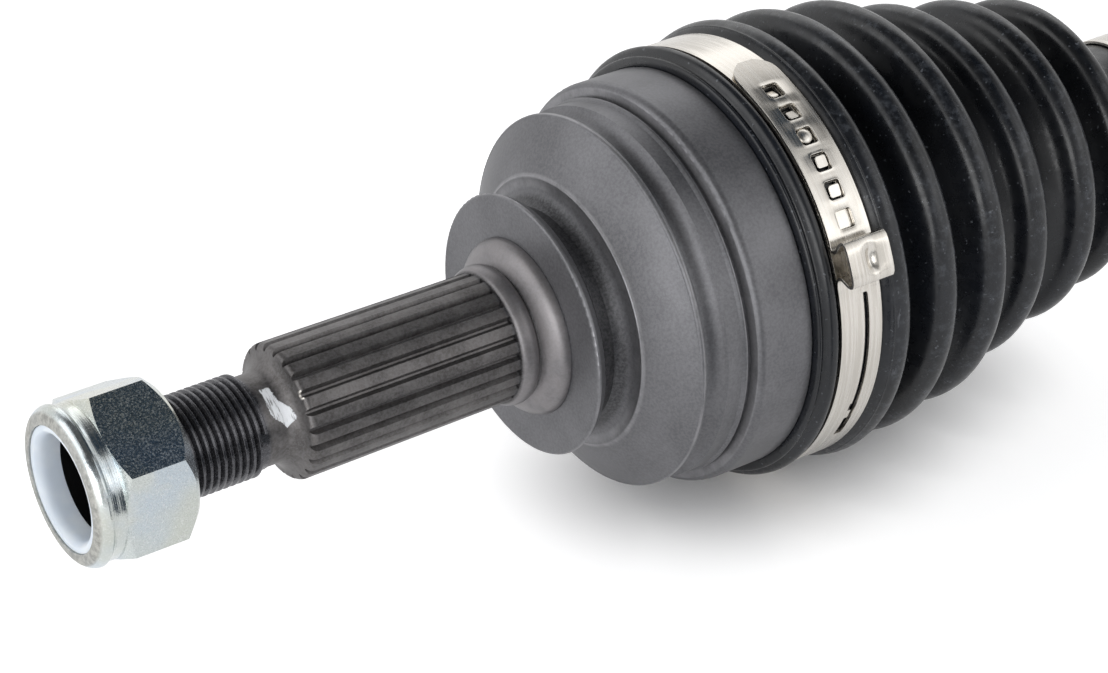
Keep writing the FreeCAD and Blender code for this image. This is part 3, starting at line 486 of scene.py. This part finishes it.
def makeBell():
    d = bellRings
    mesh = bmesh.new()
    mesh.from_mesh(nodes["outer_joint_bell"].data)
    bmesh.ops.remove_doubles(mesh, verts=mesh.verts, dist=1e-6)
    # the solid's plain seat and hollow are drawn in under the rings
    for point in mesh.verts:
        radius = math.hypot(point.co.y, point.co.z) * 1000
        station = point.co.x * 1000
        if d["from"] < station < d["to"] and d["core"] < radius < d["outline"][-1][1]:
            point.co.yz = point.co.yz * (d["core"] / radius)
        # the flange's rim falls away towards its back
        if d["rimFrom"] < station < d["rimTo"] and d["rimOver"] < radius < d["rimTop"]:
            point.co.yz = point.co.yz * (1 - d["rimFall"] * (station - d["rimFrom"]) / radius)
    piece = newPiece("bellForging", mesh, "phosphated_steel", "bell")
    piece.data.set_sharp_from_angle(angle=math.radians(d["edge"]))
    even = piece.modifiers.new("evenNormals", "WEIGHTED_NORMAL")
    even.keep_sharp = True
    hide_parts("outer_joint_bell")
    closed = d["outline"] + [(d["outline"][-1][0], d["bore"]), (d["outline"][0][0], d["bore"])]
    rings = newPiece("hubSeatRings", spunMesh(closed, 128, True), "phosphated_steel", "bell")
    rings.data.set_sharp_from_angle(angle=math.radians(50))


makeBell()
print("bell turned")

# Hub nut: the forged hexagon with broken edges
hubNut = {"edge": 0.42, "boreFrom": 10.25, "boreTo": 10.3}


def makeHubNut():
    mesh = bmesh.new()
    mesh.from_mesh(nodes["hub_nut"].data)
    bmesh.ops.remove_doubles(mesh, verts=mesh.verts, dist=1e-6)
    # the solid's bore is the thread's core, and here it and its chamfer clear the thread's ridges
    for point in mesh.verts:
        radius = math.hypot(point.co.y, point.co.z) * 1000
        if radius < hubNut["boreFrom"]:
            point.co.yz = point.co.yz * (hubNut["boreTo"] / radius)
    bmesh.ops.dissolve_limit(mesh, angle_limit=math.radians(0.5), verts=mesh.verts, edges=mesh.edges)
    piece = newPiece("hubNutForging", mesh, "zinc_plated_steel", "nut")
    piece.data.set_sharp_from_angle(angle=math.radians(14))
    bevelled(piece, hubNut["edge"], 3, 14.0)
    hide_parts("hub_nut")


makeHubNut()
print("hub nut made")

# Locking ring: turned nylon with a funnel mouth, behind the nut's rolled lip
lockingRing = {"front": -93.2, "back": -88.23, "outer": 13.4, "lip": 12.2, "mouth": 11.1, "bore": 10.05}


def makeLockingRing():
    d = lockingRing
    outline = [
        (d["back"], d["outer"]), (d["front"] + 0.75, d["outer"]), (d["front"] + 0.75, d["lip"]),
        (d["front"] + 0.1, d["lip"]), (d["front"], d["lip"] - 0.1), (d["front"], d["mouth"]),
        (d["front"] + 0.12, d["mouth"] - 0.2), (d["front"] + 0.7, d["bore"] + 0.35),
        (d["front"] + 1.4, d["bore"] + 0.1), (d["front"] + 2.2, d["bore"]), (d["back"], d["bore"]),
    ]
    piece = newPiece("lockingRing", spunMesh(outline, 96, True), "nylon", "nut_ring")
    bevelled(piece, 0.12, 2, 30.0)
    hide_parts("nut_locking_ring")


makeLockingRing()
print("locking ring made")

# Hub thread: one flat-crested ridge wound round the core at the real pitch, its foot sunk in the core
hubThread = {
    "start": -82.7, "end": -55.4, "pitch": 1.5, "root": 9.0, "crest": 9.97, "flat": 0.24, "steps": 56,
    "gap": 0.03, "foot": 0.08, "sunk": 0.3, "fade": 1.2, "edge": 0.08,
}


def makeHubThread():
    d = hubThread
    turns = (d["end"] - d["start"]) / d["pitch"] - 1
    mesh = bmesh.new()
    half = d["pitch"] / 2 - d["gap"]
    rising = [(half, d["root"] - d["sunk"]), (half, d["root"] + d["foot"]), (d["flat"], d["crest"])]
    shape = [(-x, r) for x, r in rising] + rising[::-1]
    middle = d["start"] + d["pitch"] / 2
    points = [mesh.verts.new((mm(middle + x), 0.0, mm(r))) for x, r in shape]
    lines = [mesh.edges.new(pair) for pair in zip(points, points[1:] + points[:1])]
    steps = round(turns * d["steps"])
    advance = mm((d["end"] - d["start"] - d["pitch"]) / steps)
    bmesh.ops.spin(mesh, geom=points + lines, cent=(0, 0, 0), axis=(1, 0, 0), angle=math.tau * turns,
                   dvec=(advance, 0, 0), steps=steps, use_merge=False)
    openEnds = [edge for edge in mesh.edges if edge.is_boundary]
    bmesh.ops.edgeloop_fill(mesh, edges=openEnds)
    bmesh.ops.recalc_face_normals(mesh, faces=mesh.faces)
    # the ridge fades in over the stub's chamfer
    for point in mesh.verts:
        station = point.co.x * 1000
        radius = math.hypot(point.co.y, point.co.z) * 1000
        fade = min(1.0, max(0.0, (station - d["start"]) / d["fade"]))
        if radius > d["root"]:
            point.co.yz = point.co.yz * ((d["root"] + (radius - d["root"]) * fade) / radius)
    piece = newPiece("hubThread", mesh, "phosphated_steel", "bell")
    bevelled(piece, d["edge"], 2, 25.0)


makeHubThread()
print("hub thread cut")

# Boots: control points outside, in mm from the joint's centre; the wall is given inwards, and the
# stations between which a boot bends are along the shaft
outerBoot = {
    "wall": 2.4, "segments": 56, "fold": 8.6,
    "collar": [(-2.4, 40.35), (-2.45, 42.3), (-2.3, 43.1), (-1.9, 43.5), (-1.45, 43.35), (-1.2, 43.05),
               (-0.95, 43.3), (-0.6, 44.2), (0.0, 44.85), (0.8, 44.95), (1.5, 44.6), (1.9, 43.9),
               (2.15, 43.5), (2.7, 43.5), (7.2, 43.5), (12.0, 43.5), (12.6, 43.55)],
    "bead": [(13.2, 44.2), (14.1, 45.15), (14.45, 45.3), (14.6, 45.62), (14.8, 45.3), (15.6, 45.85),
             (16.8, 46.15), (18.2, 45.85), (19.2, 44.8), (20.2, 42.4)],
    "crests": [(29.5, 45.0), (43.9, 43.2), (59.1, 38.6), (75.5, 35.3), (89.6, 32.0)],
    "neck": (108.0, 126.0), "bends": (66.0, 156.0),
}
innerBoot = {
    "wall": 2.4, "segments": 56, "fold": 5.6,
    "collar": [(18.7, 40.4), (18.65, 42.9), (19.1, 43.9), (19.9, 44.0), (20.9, 43.9), (21.4, 43.7),
               (22.0, 43.5), (23.0, 43.3), (28.0, 43.3), (33.0, 43.3), (33.8, 43.4)],
    "bead": [(34.6, 43.5), (35.6, 43.9), (36.6, 44.0), (37.6, 44.0), (38.8, 43.8), (40.0, 42.6),
             (41.0, 40.2)],
    "crests": [(50.0, 42.5), (63.0, 39.0), (76.0, 35.5), (88.5, 31.5)],
    "neck": (105.0, 122.0), "bends": (322.0, 388.0), "seam": 0.6,
}
# half of a crest and of a valley, as distance from its middle and fall or rise from its top or floor
foldShape = {"crest": [(3.7, 3.9), (3.0, 1.7), (1.9, 0.45), (0.6, -0.05)], "valley": [(1.5, 1.1), (0.5, 0.0)]}
neckShape = {"radius": 15.9, "bore": 11.6}


def bellowsOutline(boot):
    # from the large collar over the bead, the crests and the valleys to the narrow collar
    outline = list(boot["collar"]) + list(boot["bead"])
    peakX, peakR = boot["bead"][-4]
    for x, r in boot["crests"]:
        valleyX = (peakX + x) / 2
        valleyR = (peakR + r) / 2 - boot["fold"]
        valley, crest = foldShape["valley"], foldShape["crest"]
        outline += [(valleyX - side, valleyR + rise) for side, rise in valley]
        outline += [(valleyX + side, valleyR + rise) for side, rise in reversed(valley)]
        outline += [(x - side, r - fall) for side, fall in crest]
        outline += [(x + side, r - fall) for side, fall in reversed(crest)]
        peakX, peakR = x, r
    neckStart, neckEnd = boot["neck"]
    neckR = neckShape["radius"]
    outline += [(peakX + 4.6, peakR - 9.5), (neckStart - 9.0, neckR + 3.6), (neckStart - 5.0, neckR + 1.2),
                (neckStart - 2.0, neckR + 0.1), (neckStart, neckR), (neckStart + 4.0, neckR),
                (neckEnd - 4.0, neckR), (neckEnd - 0.8, neckR), (neckEnd - 0.1, neckR - 0.5),
                (neckEnd, neckR - 1.2), (neckEnd, neckShape["bore"])]
    return outline


def makeBellows(name, boot, outline, slotName="boot_rubber"):
    mesh = spunMesh(outline, boot["segments"], False)
    # a turned sheet has no inside, so its faces are pointed away from the axis
    for face in mesh.faces:
        middle = face.calc_center_median()
        outward = Vector((0.0, middle.y, middle.z)).normalized()
        if face.normal.dot(outward) < -0.35:
            face.normal_flip()
    piece = newPiece(name, mesh, slotName)
    wall = piece.modifiers.new("wall", "SOLIDIFY")
    wall.thickness = mm(boot["wall"])
    wall.offset = -1.0
    rounded(piece, 2)
    return piece


def outlinedFrom(outline, centre, way):
    return [(centre + way * x, r) for x, r in outline]


def makeBoots():
    outer = outlinedFrom(bellowsOutline(outerBoot), jointX, 1)
    piece = makeBellows("outerBootBellows", outerBoot, outer)
    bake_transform(piece)
    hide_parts("outer_boot")
    inner = outlinedFrom(bellowsOutline(innerBoot), tripodX, -1)
    # the sliding joint's boot is split in the valley between its first and second crests
    firstCrest, secondCrest = [x for x, r in innerBoot["crests"][:2]]
    split = tripodX - (firstCrest + secondCrest) / 2
    wide = [point for point in inner if point[0] > split - innerBoot["seam"]]
    narrow = [point for point in inner if point[0] < split + innerBoot["seam"]]
    large = makeBellows("innerBootWideEnd", innerBoot, wide)
    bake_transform(large)
    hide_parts("inner_boot")
    small = makeBellows("innerBootNarrowEnd", innerBoot, narrow)
    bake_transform(small)


makeBoots()
print("boots moulded")

# Ear clamps: one strip each, whose windowed tongue laps over its own other end. Lengths run along
# the strip from the middle of the ear, towards the near side
outerLargeClamp = {
    "start": 50.35, "width": 10.0, "inside": 43.66, "sheet": 0.66, "earTurn": 66.3, "tongue": 45.3,
    "windowHalf": 1.75, "windows": (-7.7, -13.4, -19.1, -24.8, -30.5, -36.2),
    "slot": (6.9, 42.8), "slotSide": 0.9, "tabs": True, "sprungFrom": -34.0,
}
innerLargeClamp = dict(outerLargeClamp, start=394.65)
outerSmallClamp = {
    "start": 161.05, "width": 8.0, "inside": 16.06, "sheet": 0.66, "earTurn": 215.0, "tongue": 15.0,
    "windowHalf": 1.5, "windows": (-9.2,), "slot": (7.9, 15.5), "slotSide": 0.0,
    "tabs": False, "sprungFrom": -9.0,
}
innerSmallClamp = dict(outerSmallClamp, start=310.55)
windowRim = {"width": 0.4, "rise": 0.13, "corner": 0.45}
# heights of the two layers, half the slot's width, and how the openings under the tongue are smaller
strip = {"lower": 0.35, "upper": 1.04, "slotHalf": 0.95, "underShorter": 0.1, "underNarrower": 0.3}
tongueSpring = {"rise": 0.5, "over": 10.0}
earDimple = {"over": 5.0, "depth": 1.5, "halfLength": 2.1, "halfWidth": 1.3, "side": 0.5}
# middle line of the ear, as distance along the strip and height over the band's underside
earLine = [
    (6.3, 0.4), (5.2, 0.4), (4.2, 0.42), (3.35, 0.6), (2.75, 1.05), (2.5, 1.7), (2.65, 2.4), (3.15, 3.1),
    (3.7, 3.9), (3.9, 4.65), (3.75, 5.3), (3.2, 5.66), (2.4, 5.79), (1.6, 5.81), (0.8, 5.81), (0.0, 5.81)]
earLine += [(-u, h) for u, h in reversed(earLine[:-1])]
earLine = earLine[:-4] + [(-3.35, 0.9), (-4.2, 1.02), (-5.0, 1.04)]


def stripMesh(line, columns, holes, tip):
    # line is (along, height) and columns are distances from the strip's middle; a hole is (middle
    # along, half length, middle across, half width, rise of its rim), and its corners are drawn in
    mesh = bmesh.new()
    row = [mesh.verts.new((c, line[0][0], line[0][1])) for c in columns]
    edges = [mesh.edges.new(pair) for pair in zip(row, row[1:])]
    for before, after in zip(line, line[1:]):
        grown = bmesh.ops.extrude_edge_only(mesh, edges=edges)["geom"]
        points = [item for item in grown if isinstance(item, bmesh.types.BMVert)]
        edges = [item for item in grown if isinstance(item, bmesh.types.BMEdge)]
        bmesh.ops.translate(mesh, verts=points, vec=(0, after[0] - before[0], after[1] - before[1]))
    cutOut = [face for face in mesh.faces if any(
        abs(face.calc_center_median().y - middle) < reach and abs(face.calc_center_median().x - side) < half
        for middle, reach, side, half, rise in holes)]
    bmesh.ops.delete(mesh, geom=cutOut, context="FACES")
    for point in mesh.verts:
        for middle, reach, side, half, rise in holes:
            along = abs(point.co.y - middle)
            across = abs(point.co.x - side)
            if along < reach + 0.05 and across < half + 0.05:
                point.co.z += rise
                if along > reach - 0.05 and across > half - 0.05:
                    drawnIn = windowRim["corner"] * 0.3
                    point.co.x = side + (point.co.x - side) * (half - drawnIn) / half
                    point.co.y = middle + (point.co.y - middle) * (reach - drawnIn) / reach
        if tip is not None:
            reach = (tip + max(columns) - point.co.y) / max(columns)
            if reach > 0:
                point.co.x *= math.sqrt(max(0.12, 1 - min(1.0, reach) ** 2.6))
    return mesh


def wrapped(mesh, clamp):
    # lays a flat strip round the shaft
    size = clamp["inside"]
    middle = clamp["start"] + clamp["width"] / 2
    for point in mesh.verts:
        turn = math.radians(clamp["earTurn"]) + point.co.y / size
        radius = size + point.co.z
        point.co = Vector(mm(middle + point.co.x, -radius * math.sin(turn), radius * math.cos(turn)))
    bmesh.ops.remove_doubles(mesh, verts=mesh.verts, dist=1e-5)
    bmesh.ops.recalc_face_normals(mesh, faces=mesh.faces)
    return mesh


def spaced(low, high, step, extra=()):
    count = max(1, round((high - low) / step))
    marks = sorted(set([low + (high - low) * i / count for i in range(count + 1)] + list(extra)))
    return [mark for mark in marks if mark in extra or all(abs(mark - other) > 0.2 for other in extra)]


def holeMarks(holes):
    # rows that a hole needs: its ends, the foot of its rim and the start of its corners
    steps = (windowRim["width"], 0.0, -windowRim["corner"])
    return [middle + end * (reach + step) for middle, reach, side, half, rise in holes for end in (-1, 1)
            for step in steps]


def holeColumns(holes, edge):
    marks = {-edge, -edge + 0.5, 0.0, edge - 0.5, edge}
    for middle, reach, side, half, rise in holes:
        rim = (half + windowRim["width"], half, half - windowRim["corner"])
        for step in rim + (strip["slotHalf"], 0.6, 0.3):
            marks |= {round(side - step, 3), round(side + step, 3)}
    ordered = sorted(marks)
    return ordered[:1] + [mark for before, mark in zip(ordered, ordered[1:]) if mark - before > 0.04]


def finishStrip(piece, clamp):
    sheet = piece.modifiers.new("sheet", "SOLIDIFY")
    sheet.thickness = mm(clamp["sheet"])
    sheet.offset = 0.0
    bevelled(piece, 0.12, 2, 40.0)


def makeEarClamp(name, clamp, body, node):
    edge = clamp["width"] / 2
    window = clamp["windowHalf"]
    lower = strip["lower"]
    upper = strip["upper"]
    slotFrom, slotTo = clamp["slot"]
    around = math.tau * clamp["inside"]
    # the lower end: a long slot, and openings under the tongue that its hooks were cut from
    slot = ((slotFrom + slotTo) / 2, (slotTo - slotFrom) / 2, clamp["slotSide"], strip["slotHalf"], 0.0)
    under = [(around + u, window - strip["underShorter"], 0.0, window - strip["underNarrower"], 0.0)
             for u in clamp["windows"][1:] if clamp["tabs"]]
    line = [(u, lower) for u in spaced(0.0, around, 1.6, holeMarks([slot] + under))]
    band = wrapped(stripMesh(line, holeColumns([slot] + under, edge), [slot] + under, None), clamp)
    piece = newPiece(name + "Band", band, "stainless_band", body)
    finishStrip(piece, clamp)
    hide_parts(node)
    holes = [(u, window, 0.0, window, windowRim["rise"]) for u in clamp["windows"]]
    tongue = [(u, upper) for u in spaced(-clamp["tongue"], -6.2, 0.7, holeMarks(holes))]
    mesh = stripMesh(earLine + tongue[::-1], holeColumns(holes, edge), holes, -clamp["tongue"])
    for point in mesh.verts:
        # the end of the tongue springs off the band
        sprung = max(0.0, (clamp["sprungFrom"] - point.co.y) / tongueSpring["over"])
        point.co.z += tongueSpring["rise"] * sprung ** 2
        # long dimple pressed in the ear's top
        if point.co.z > earDimple["over"]:
            lengthwise = (point.co.y / earDimple["halfLength"]) ** 4
            crosswise = ((point.co.x - earDimple["side"]) / earDimple["halfWidth"]) ** 2
            point.co.z -= earDimple["depth"] * math.exp(-lengthwise - crosswise)
    piece = newPiece(name + "Ear", wrapped(mesh, clamp), "stainless_band", body)
    finishStrip(piece, clamp)
    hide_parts(node)
    if clamp["tabs"]:
        makeHookTabs(name, clamp, body)


# Hooks of the lower end that stand in the tongue's windows, as (window, size across, size along,
# thickness, shift across, shift along, height, tilt in degrees), and the round button in one window
hookTabs = {
    "hooks": ((1, 2.6, 2.5, 0.5, 0.2, 0.2, 1.0, -10), (2, 2.5, 2.4, 0.5, 0.2, -0.1, 1.05, -10),
              (4, 2.4, 1.9, 0.4, 0.4, 0.4, 0.7, 12), (5, 1.8, 2.1, 0.4, -0.2, 0.3, 0.65, 18)),
    "corner": 0.5, "buttonWindow": 3, "buttonSize": (1.6, 1.6, 0.75), "buttonShift": (-0.25, -0.15, 0.95),
}
# the inner tongue's end and the lug that it ends in: from and to, in mm from the slot's start or
# end, then width, height and thickness
innerTongue = {"shift": -0.2, "end": (-0.5, -9.4, 1.1, 0.08, 0.3), "lug": (-7.6, -5.2, 1.5, 0.3, 0.5)}


def makeHookTabs(name, clamp, body):
    mesh = bmesh.new()
    for place, wide, deep, thick, across, forward, lift, tilt in hookTabs["hooks"]:
        made = bmesh.ops.create_cube(mesh, size=1.0)["verts"]
        bmesh.ops.scale(mesh, vec=(wide, deep, thick), verts=made)
        bmesh.ops.rotate(mesh, cent=(0, 0, 0), matrix=Matrix.Rotation(math.radians(tilt), 3, "X"), verts=made)
        bmesh.ops.translate(mesh, vec=(across, clamp["windows"][place] + forward, lift), verts=made)
    upright = [edge for edge in mesh.edges if abs((edge.verts[0].co - edge.verts[1].co).normalized().z) > 0.8]
    bmesh.ops.bevel(mesh, geom=upright, offset=hookTabs["corner"], segments=4, profile=0.5, affect="EDGES",
                    material=-1)
    button = bmesh.ops.create_uvsphere(mesh, u_segments=28, v_segments=14, radius=1.0)["verts"]
    bmesh.ops.scale(mesh, vec=hookTabs["buttonSize"], verts=button)
    across, forward, lift = hookTabs["buttonShift"]
    window = clamp["windows"][hookTabs["buttonWindow"]]
    bmesh.ops.translate(mesh, vec=(across, window + forward, lift), verts=button)
    piece = newPiece(name + "Hooks", wrapped(mesh, clamp), "stainless_band", body)
    bevelled(piece, 0.16, 3, 40.0)
    # the inner tongue shows through the slot and leaves a gap on one side
    slotFrom, slotTo = clamp["slot"]
    middle = clamp["slotSide"] + innerTongue["shift"]
    inner = bmesh.new()
    for key, origin in (("end", slotFrom), ("lug", slotTo)):
        low, high, wide, lift, thick = innerTongue[key]
        steps = spaced(origin + low, slotTo + high, 1.6)
        line = [(u, lift) for u in steps]
        part = stripMesh(line, [middle - wide / 2, middle, middle + wide / 2], [], None)
        bmesh.ops.solidify(part, geom=part.faces[:], thickness=-thick)
        held = bpy.data.meshes.new("innerTongue")
        part.to_mesh(held)
        part.free()
        inner.from_mesh(held)
        bpy.data.meshes.remove(held)
    piece = newPiece(name + "Inner", wrapped(inner, clamp), "stainless_band", body)
    bevelled(piece, 0.08, 2, 40.0)


makeEarClamp("outerLargeClamp", outerLargeClamp, "bell", "outer_boot_large_clamp")
makeEarClamp("outerSmallClamp", outerSmallClamp, "bar", "outer_boot_small_clamp")
makeEarClamp("innerSmallClamp", innerSmallClamp, "bar", "inner_boot_small_clamp")
makeEarClamp("innerLargeClamp", innerLargeClamp, "tulip", "inner_boot_large_clamp")
print("clamps bent")

# Camera where the photograph was taken from: it looks past the skirt's middle, with shifts and
# distance in mm, and its focal length and the photograph's width are in pixels
view = {"down": 31.27, "target": 22.0, "aside": 6.32, "below": 6.87, "distance": 618.9,
        "focal": 3146.0, "frame": 1108.0, "sensor": 36.0}
forwardFlat = Vector((0.5739, 0.8190, 0.0))
right = Vector((0.8191, -0.5737, 0.0))
down = math.radians(view["down"])
forward = forwardFlat * math.cos(down) - Vector((0, 0, 1)) * math.sin(down)
upward = forwardFlat * math.sin(down) + Vector((0, 0, 1)) * math.cos(down)
skirtMiddle = Vector(mm(view["target"], 0, 0))
eye = skirtMiddle - right * mm(view["aside"]) - upward * mm(view["below"]) - forward * mm(view["distance"])
cameraData = bpy.data.cameras.new("photoCamera")
cameraData.sensor_width = view["sensor"]
cameraData.sensor_fit = "HORIZONTAL"
cameraData.lens = view["focal"] / view["frame"] * view["sensor"]
camera = bpy.data.objects.new("photoCamera", cameraData)
camera.matrix_world = Matrix((
    (right.x, upward.x, -forward.x, eye.x),
    (right.y, upward.y, -forward.y, eye.y),
    (right.z, upward.z, -forward.z, eye.z),
    (0, 0, 0, 1)))
scene.collection.objects.link(camera)
scene.camera = camera

# Studio: a pale floor under the boots, soft boxes and dark flags, with the floor's station in mm,
# its size and the reach of its soft shadow in metres, and its lift as a share of white
studio = {
    "floor": -46.3, "floorSize": 6.0, "floorLift": 0.62, "mirroredShare": 0.6,
    "shadowReach": 0.03, "shadowFade": (0.12, 0.8),
}


def studioFinish(name, colour, cameraLift):
    finish = bpy.data.materials.new(name)
    finish.use_nodes = True
    tree = finish.node_tree
    shader = tree.nodes["Principled BSDF"]
    shader.inputs["Base Color"].default_value = linearColour(colour)
    shader.inputs["Roughness"].default_value = 0.9
    shader.inputs["Specular IOR Level"].default_value = 0.0
    if cameraLift:
        # the lift towards white is seen by the camera and in metal and glass, and lights nothing
        ray = addNode(tree, "ShaderNodeLightPath").outputs
        mirrored = reckon(tree, "MAXIMUM", ray["Is Glossy Ray"], ray["Is Transmission Ray"])
        seen = reckon(tree, "MAXIMUM", ray["Is Camera Ray"],
                      reckon(tree, "MULTIPLY", mirrored, studio["mirroredShare"]))
        # and it fades where the object stands close over the floor
        clear = addNode(tree, "ShaderNodeAmbientOcclusion", {"Distance": studio["shadowReach"]},
                        samples=12).outputs["AO"]
        seen = reckon(tree, "MULTIPLY", seen, between(tree, clear, *studio["shadowFade"]))
        shader.inputs["Emission Color"].default_value = (1, 1, 1, 1)
        tree.links.new(reckon(tree, "MULTIPLY", seen, cameraLift), shader.inputs["Emission Strength"])
    return finish


def stageSheet(name, centre, size, facing, finish):
    mesh = bmesh.new()
    bmesh.ops.create_grid(mesh, x_segments=1, y_segments=1, size=0.5)
    bmesh.ops.scale(mesh, vec=(size[0], size[1], 1.0), verts=mesh.verts)
    turnTo = Vector(facing).normalized().to_track_quat("Z", "Y").to_matrix().to_4x4()
    bmesh.ops.transform(mesh, matrix=Matrix.Translation(centre) @ turnTo, verts=mesh.verts)
    data = bpy.data.meshes.new(name)
    mesh.to_mesh(data)
    mesh.free()
    sheet = bpy.data.objects.new(name, data)
    data.materials.append(finish)
    scene.collection.objects.link(sheet)
    return sheet


def softBox(name, place, target, size, power):
    data = bpy.data.lights.new(name, "AREA")
    data.shape = "RECTANGLE"
    data.size, data.size_y = size
    data.energy = power
    lamp = bpy.data.objects.new(name, data)
    lamp.location = place
    lamp.rotation_euler = (Vector(target) - Vector(place)).to_track_quat("-Z", "Y").to_euler()
    scene.collection.objects.link(lamp)
    return lamp


floorFinish = studioFinish("paperFloor", "#f4f4f5", studio["floorLift"])
floorPlace = (0, 0, mm(studio["floor"]))
stageSheet("paperFloor", floorPlace, (studio["floorSize"], studio["floorSize"]), (0, 0, 1), floorFinish)
flagFinish = studioFinish("darkFlag", "#2c3b4a", 0)
nutPlace = Vector(mm(-83, 0, 0))
for name, way, distance, size in (("topFlag", (0.40, -0.16, 0.90), 0.75, (0.42, 0.42)),
                                  ("nearFlag", (0.49, -0.85, -0.17), 0.13, (0.10, 0.085))):
    way = Vector(way).normalized()
    flag = stageSheet(name, nutPlace + way * distance, size, -way, flagFinish)
    flag.visible_camera = False
    # the near flag is only there to be mirrored
    flag.visible_shadow = flag.visible_diffuse = name != "nearFlag"

# Soft boxes: place, what they point at, size in metres and power in watts
keyWay = Vector((0.49, -0.63, 0.60)).normalized()
frontWay = Vector((-0.87, -0.47, 0.2)).normalized()
leftPlace = right * -1.1 - forwardFlat * 0.25 + Vector((0, 0, 0.7))
backPlace = forwardFlat * 1.2 + Vector((0, 0, 0.9))
nearPlace = right * 0.9 - forwardFlat * 0.7 + Vector((0, 0, 0.35))
softBox("rightSoftBox", keyWay * 1.3, (0, 0, 0), (1.0, 1.0), 2.5)
softBox("leftSoftBox", leftPlace, (0, 0, 0), (1.2, 0.9), 4.0)
softBox("backSoftBox", backPlace, (0, 0, 0), (1.8, 0.9), 4.4)
softBox("nearSoftBox", nearPlace, (0.05, 0, 0), (1.2, 0.6), 1.1)
softBox("frontSoftBox", frontWay * 1.2, (0, 0, 0), (0.9, 0.65), 5.6)


def makeWorld():
    # pale walls under a dark ceiling, and dimmer behind the camera
    world = bpy.data.worlds.new("studioRoom")
    scene.world = world
    world.use_nodes = True
    tree = world.node_tree
    backing = tree.nodes["Background"]
    way = addNode(tree, "ShaderNodeTexCoord").outputs["Generated"]
    ahead = addNode(tree, "ShaderNodeVectorMath", {0: way, 1: tuple(forwardFlat)},
                    operation="DOT_PRODUCT").outputs["Value"]
    height = addNode(tree, "ShaderNodeSeparateXYZ", {0: way}).outputs[2]
    walls = between(tree, ahead, -0.8, 0.2, 0.5, 0.95)
    ceiling = between(tree, height, 0.35, 0.85, 1.0, 0.12)
    level = reckon(tree, "MULTIPLY", walls, ceiling)
    tree.links.new(blendColours(tree, level, "#000000", "#ffffff"), backing.inputs["Color"])
    backing.inputs["Strength"].default_value = 1.0


makeWorld()
scene.view_settings.view_transform = "Standard"
print("studio set")
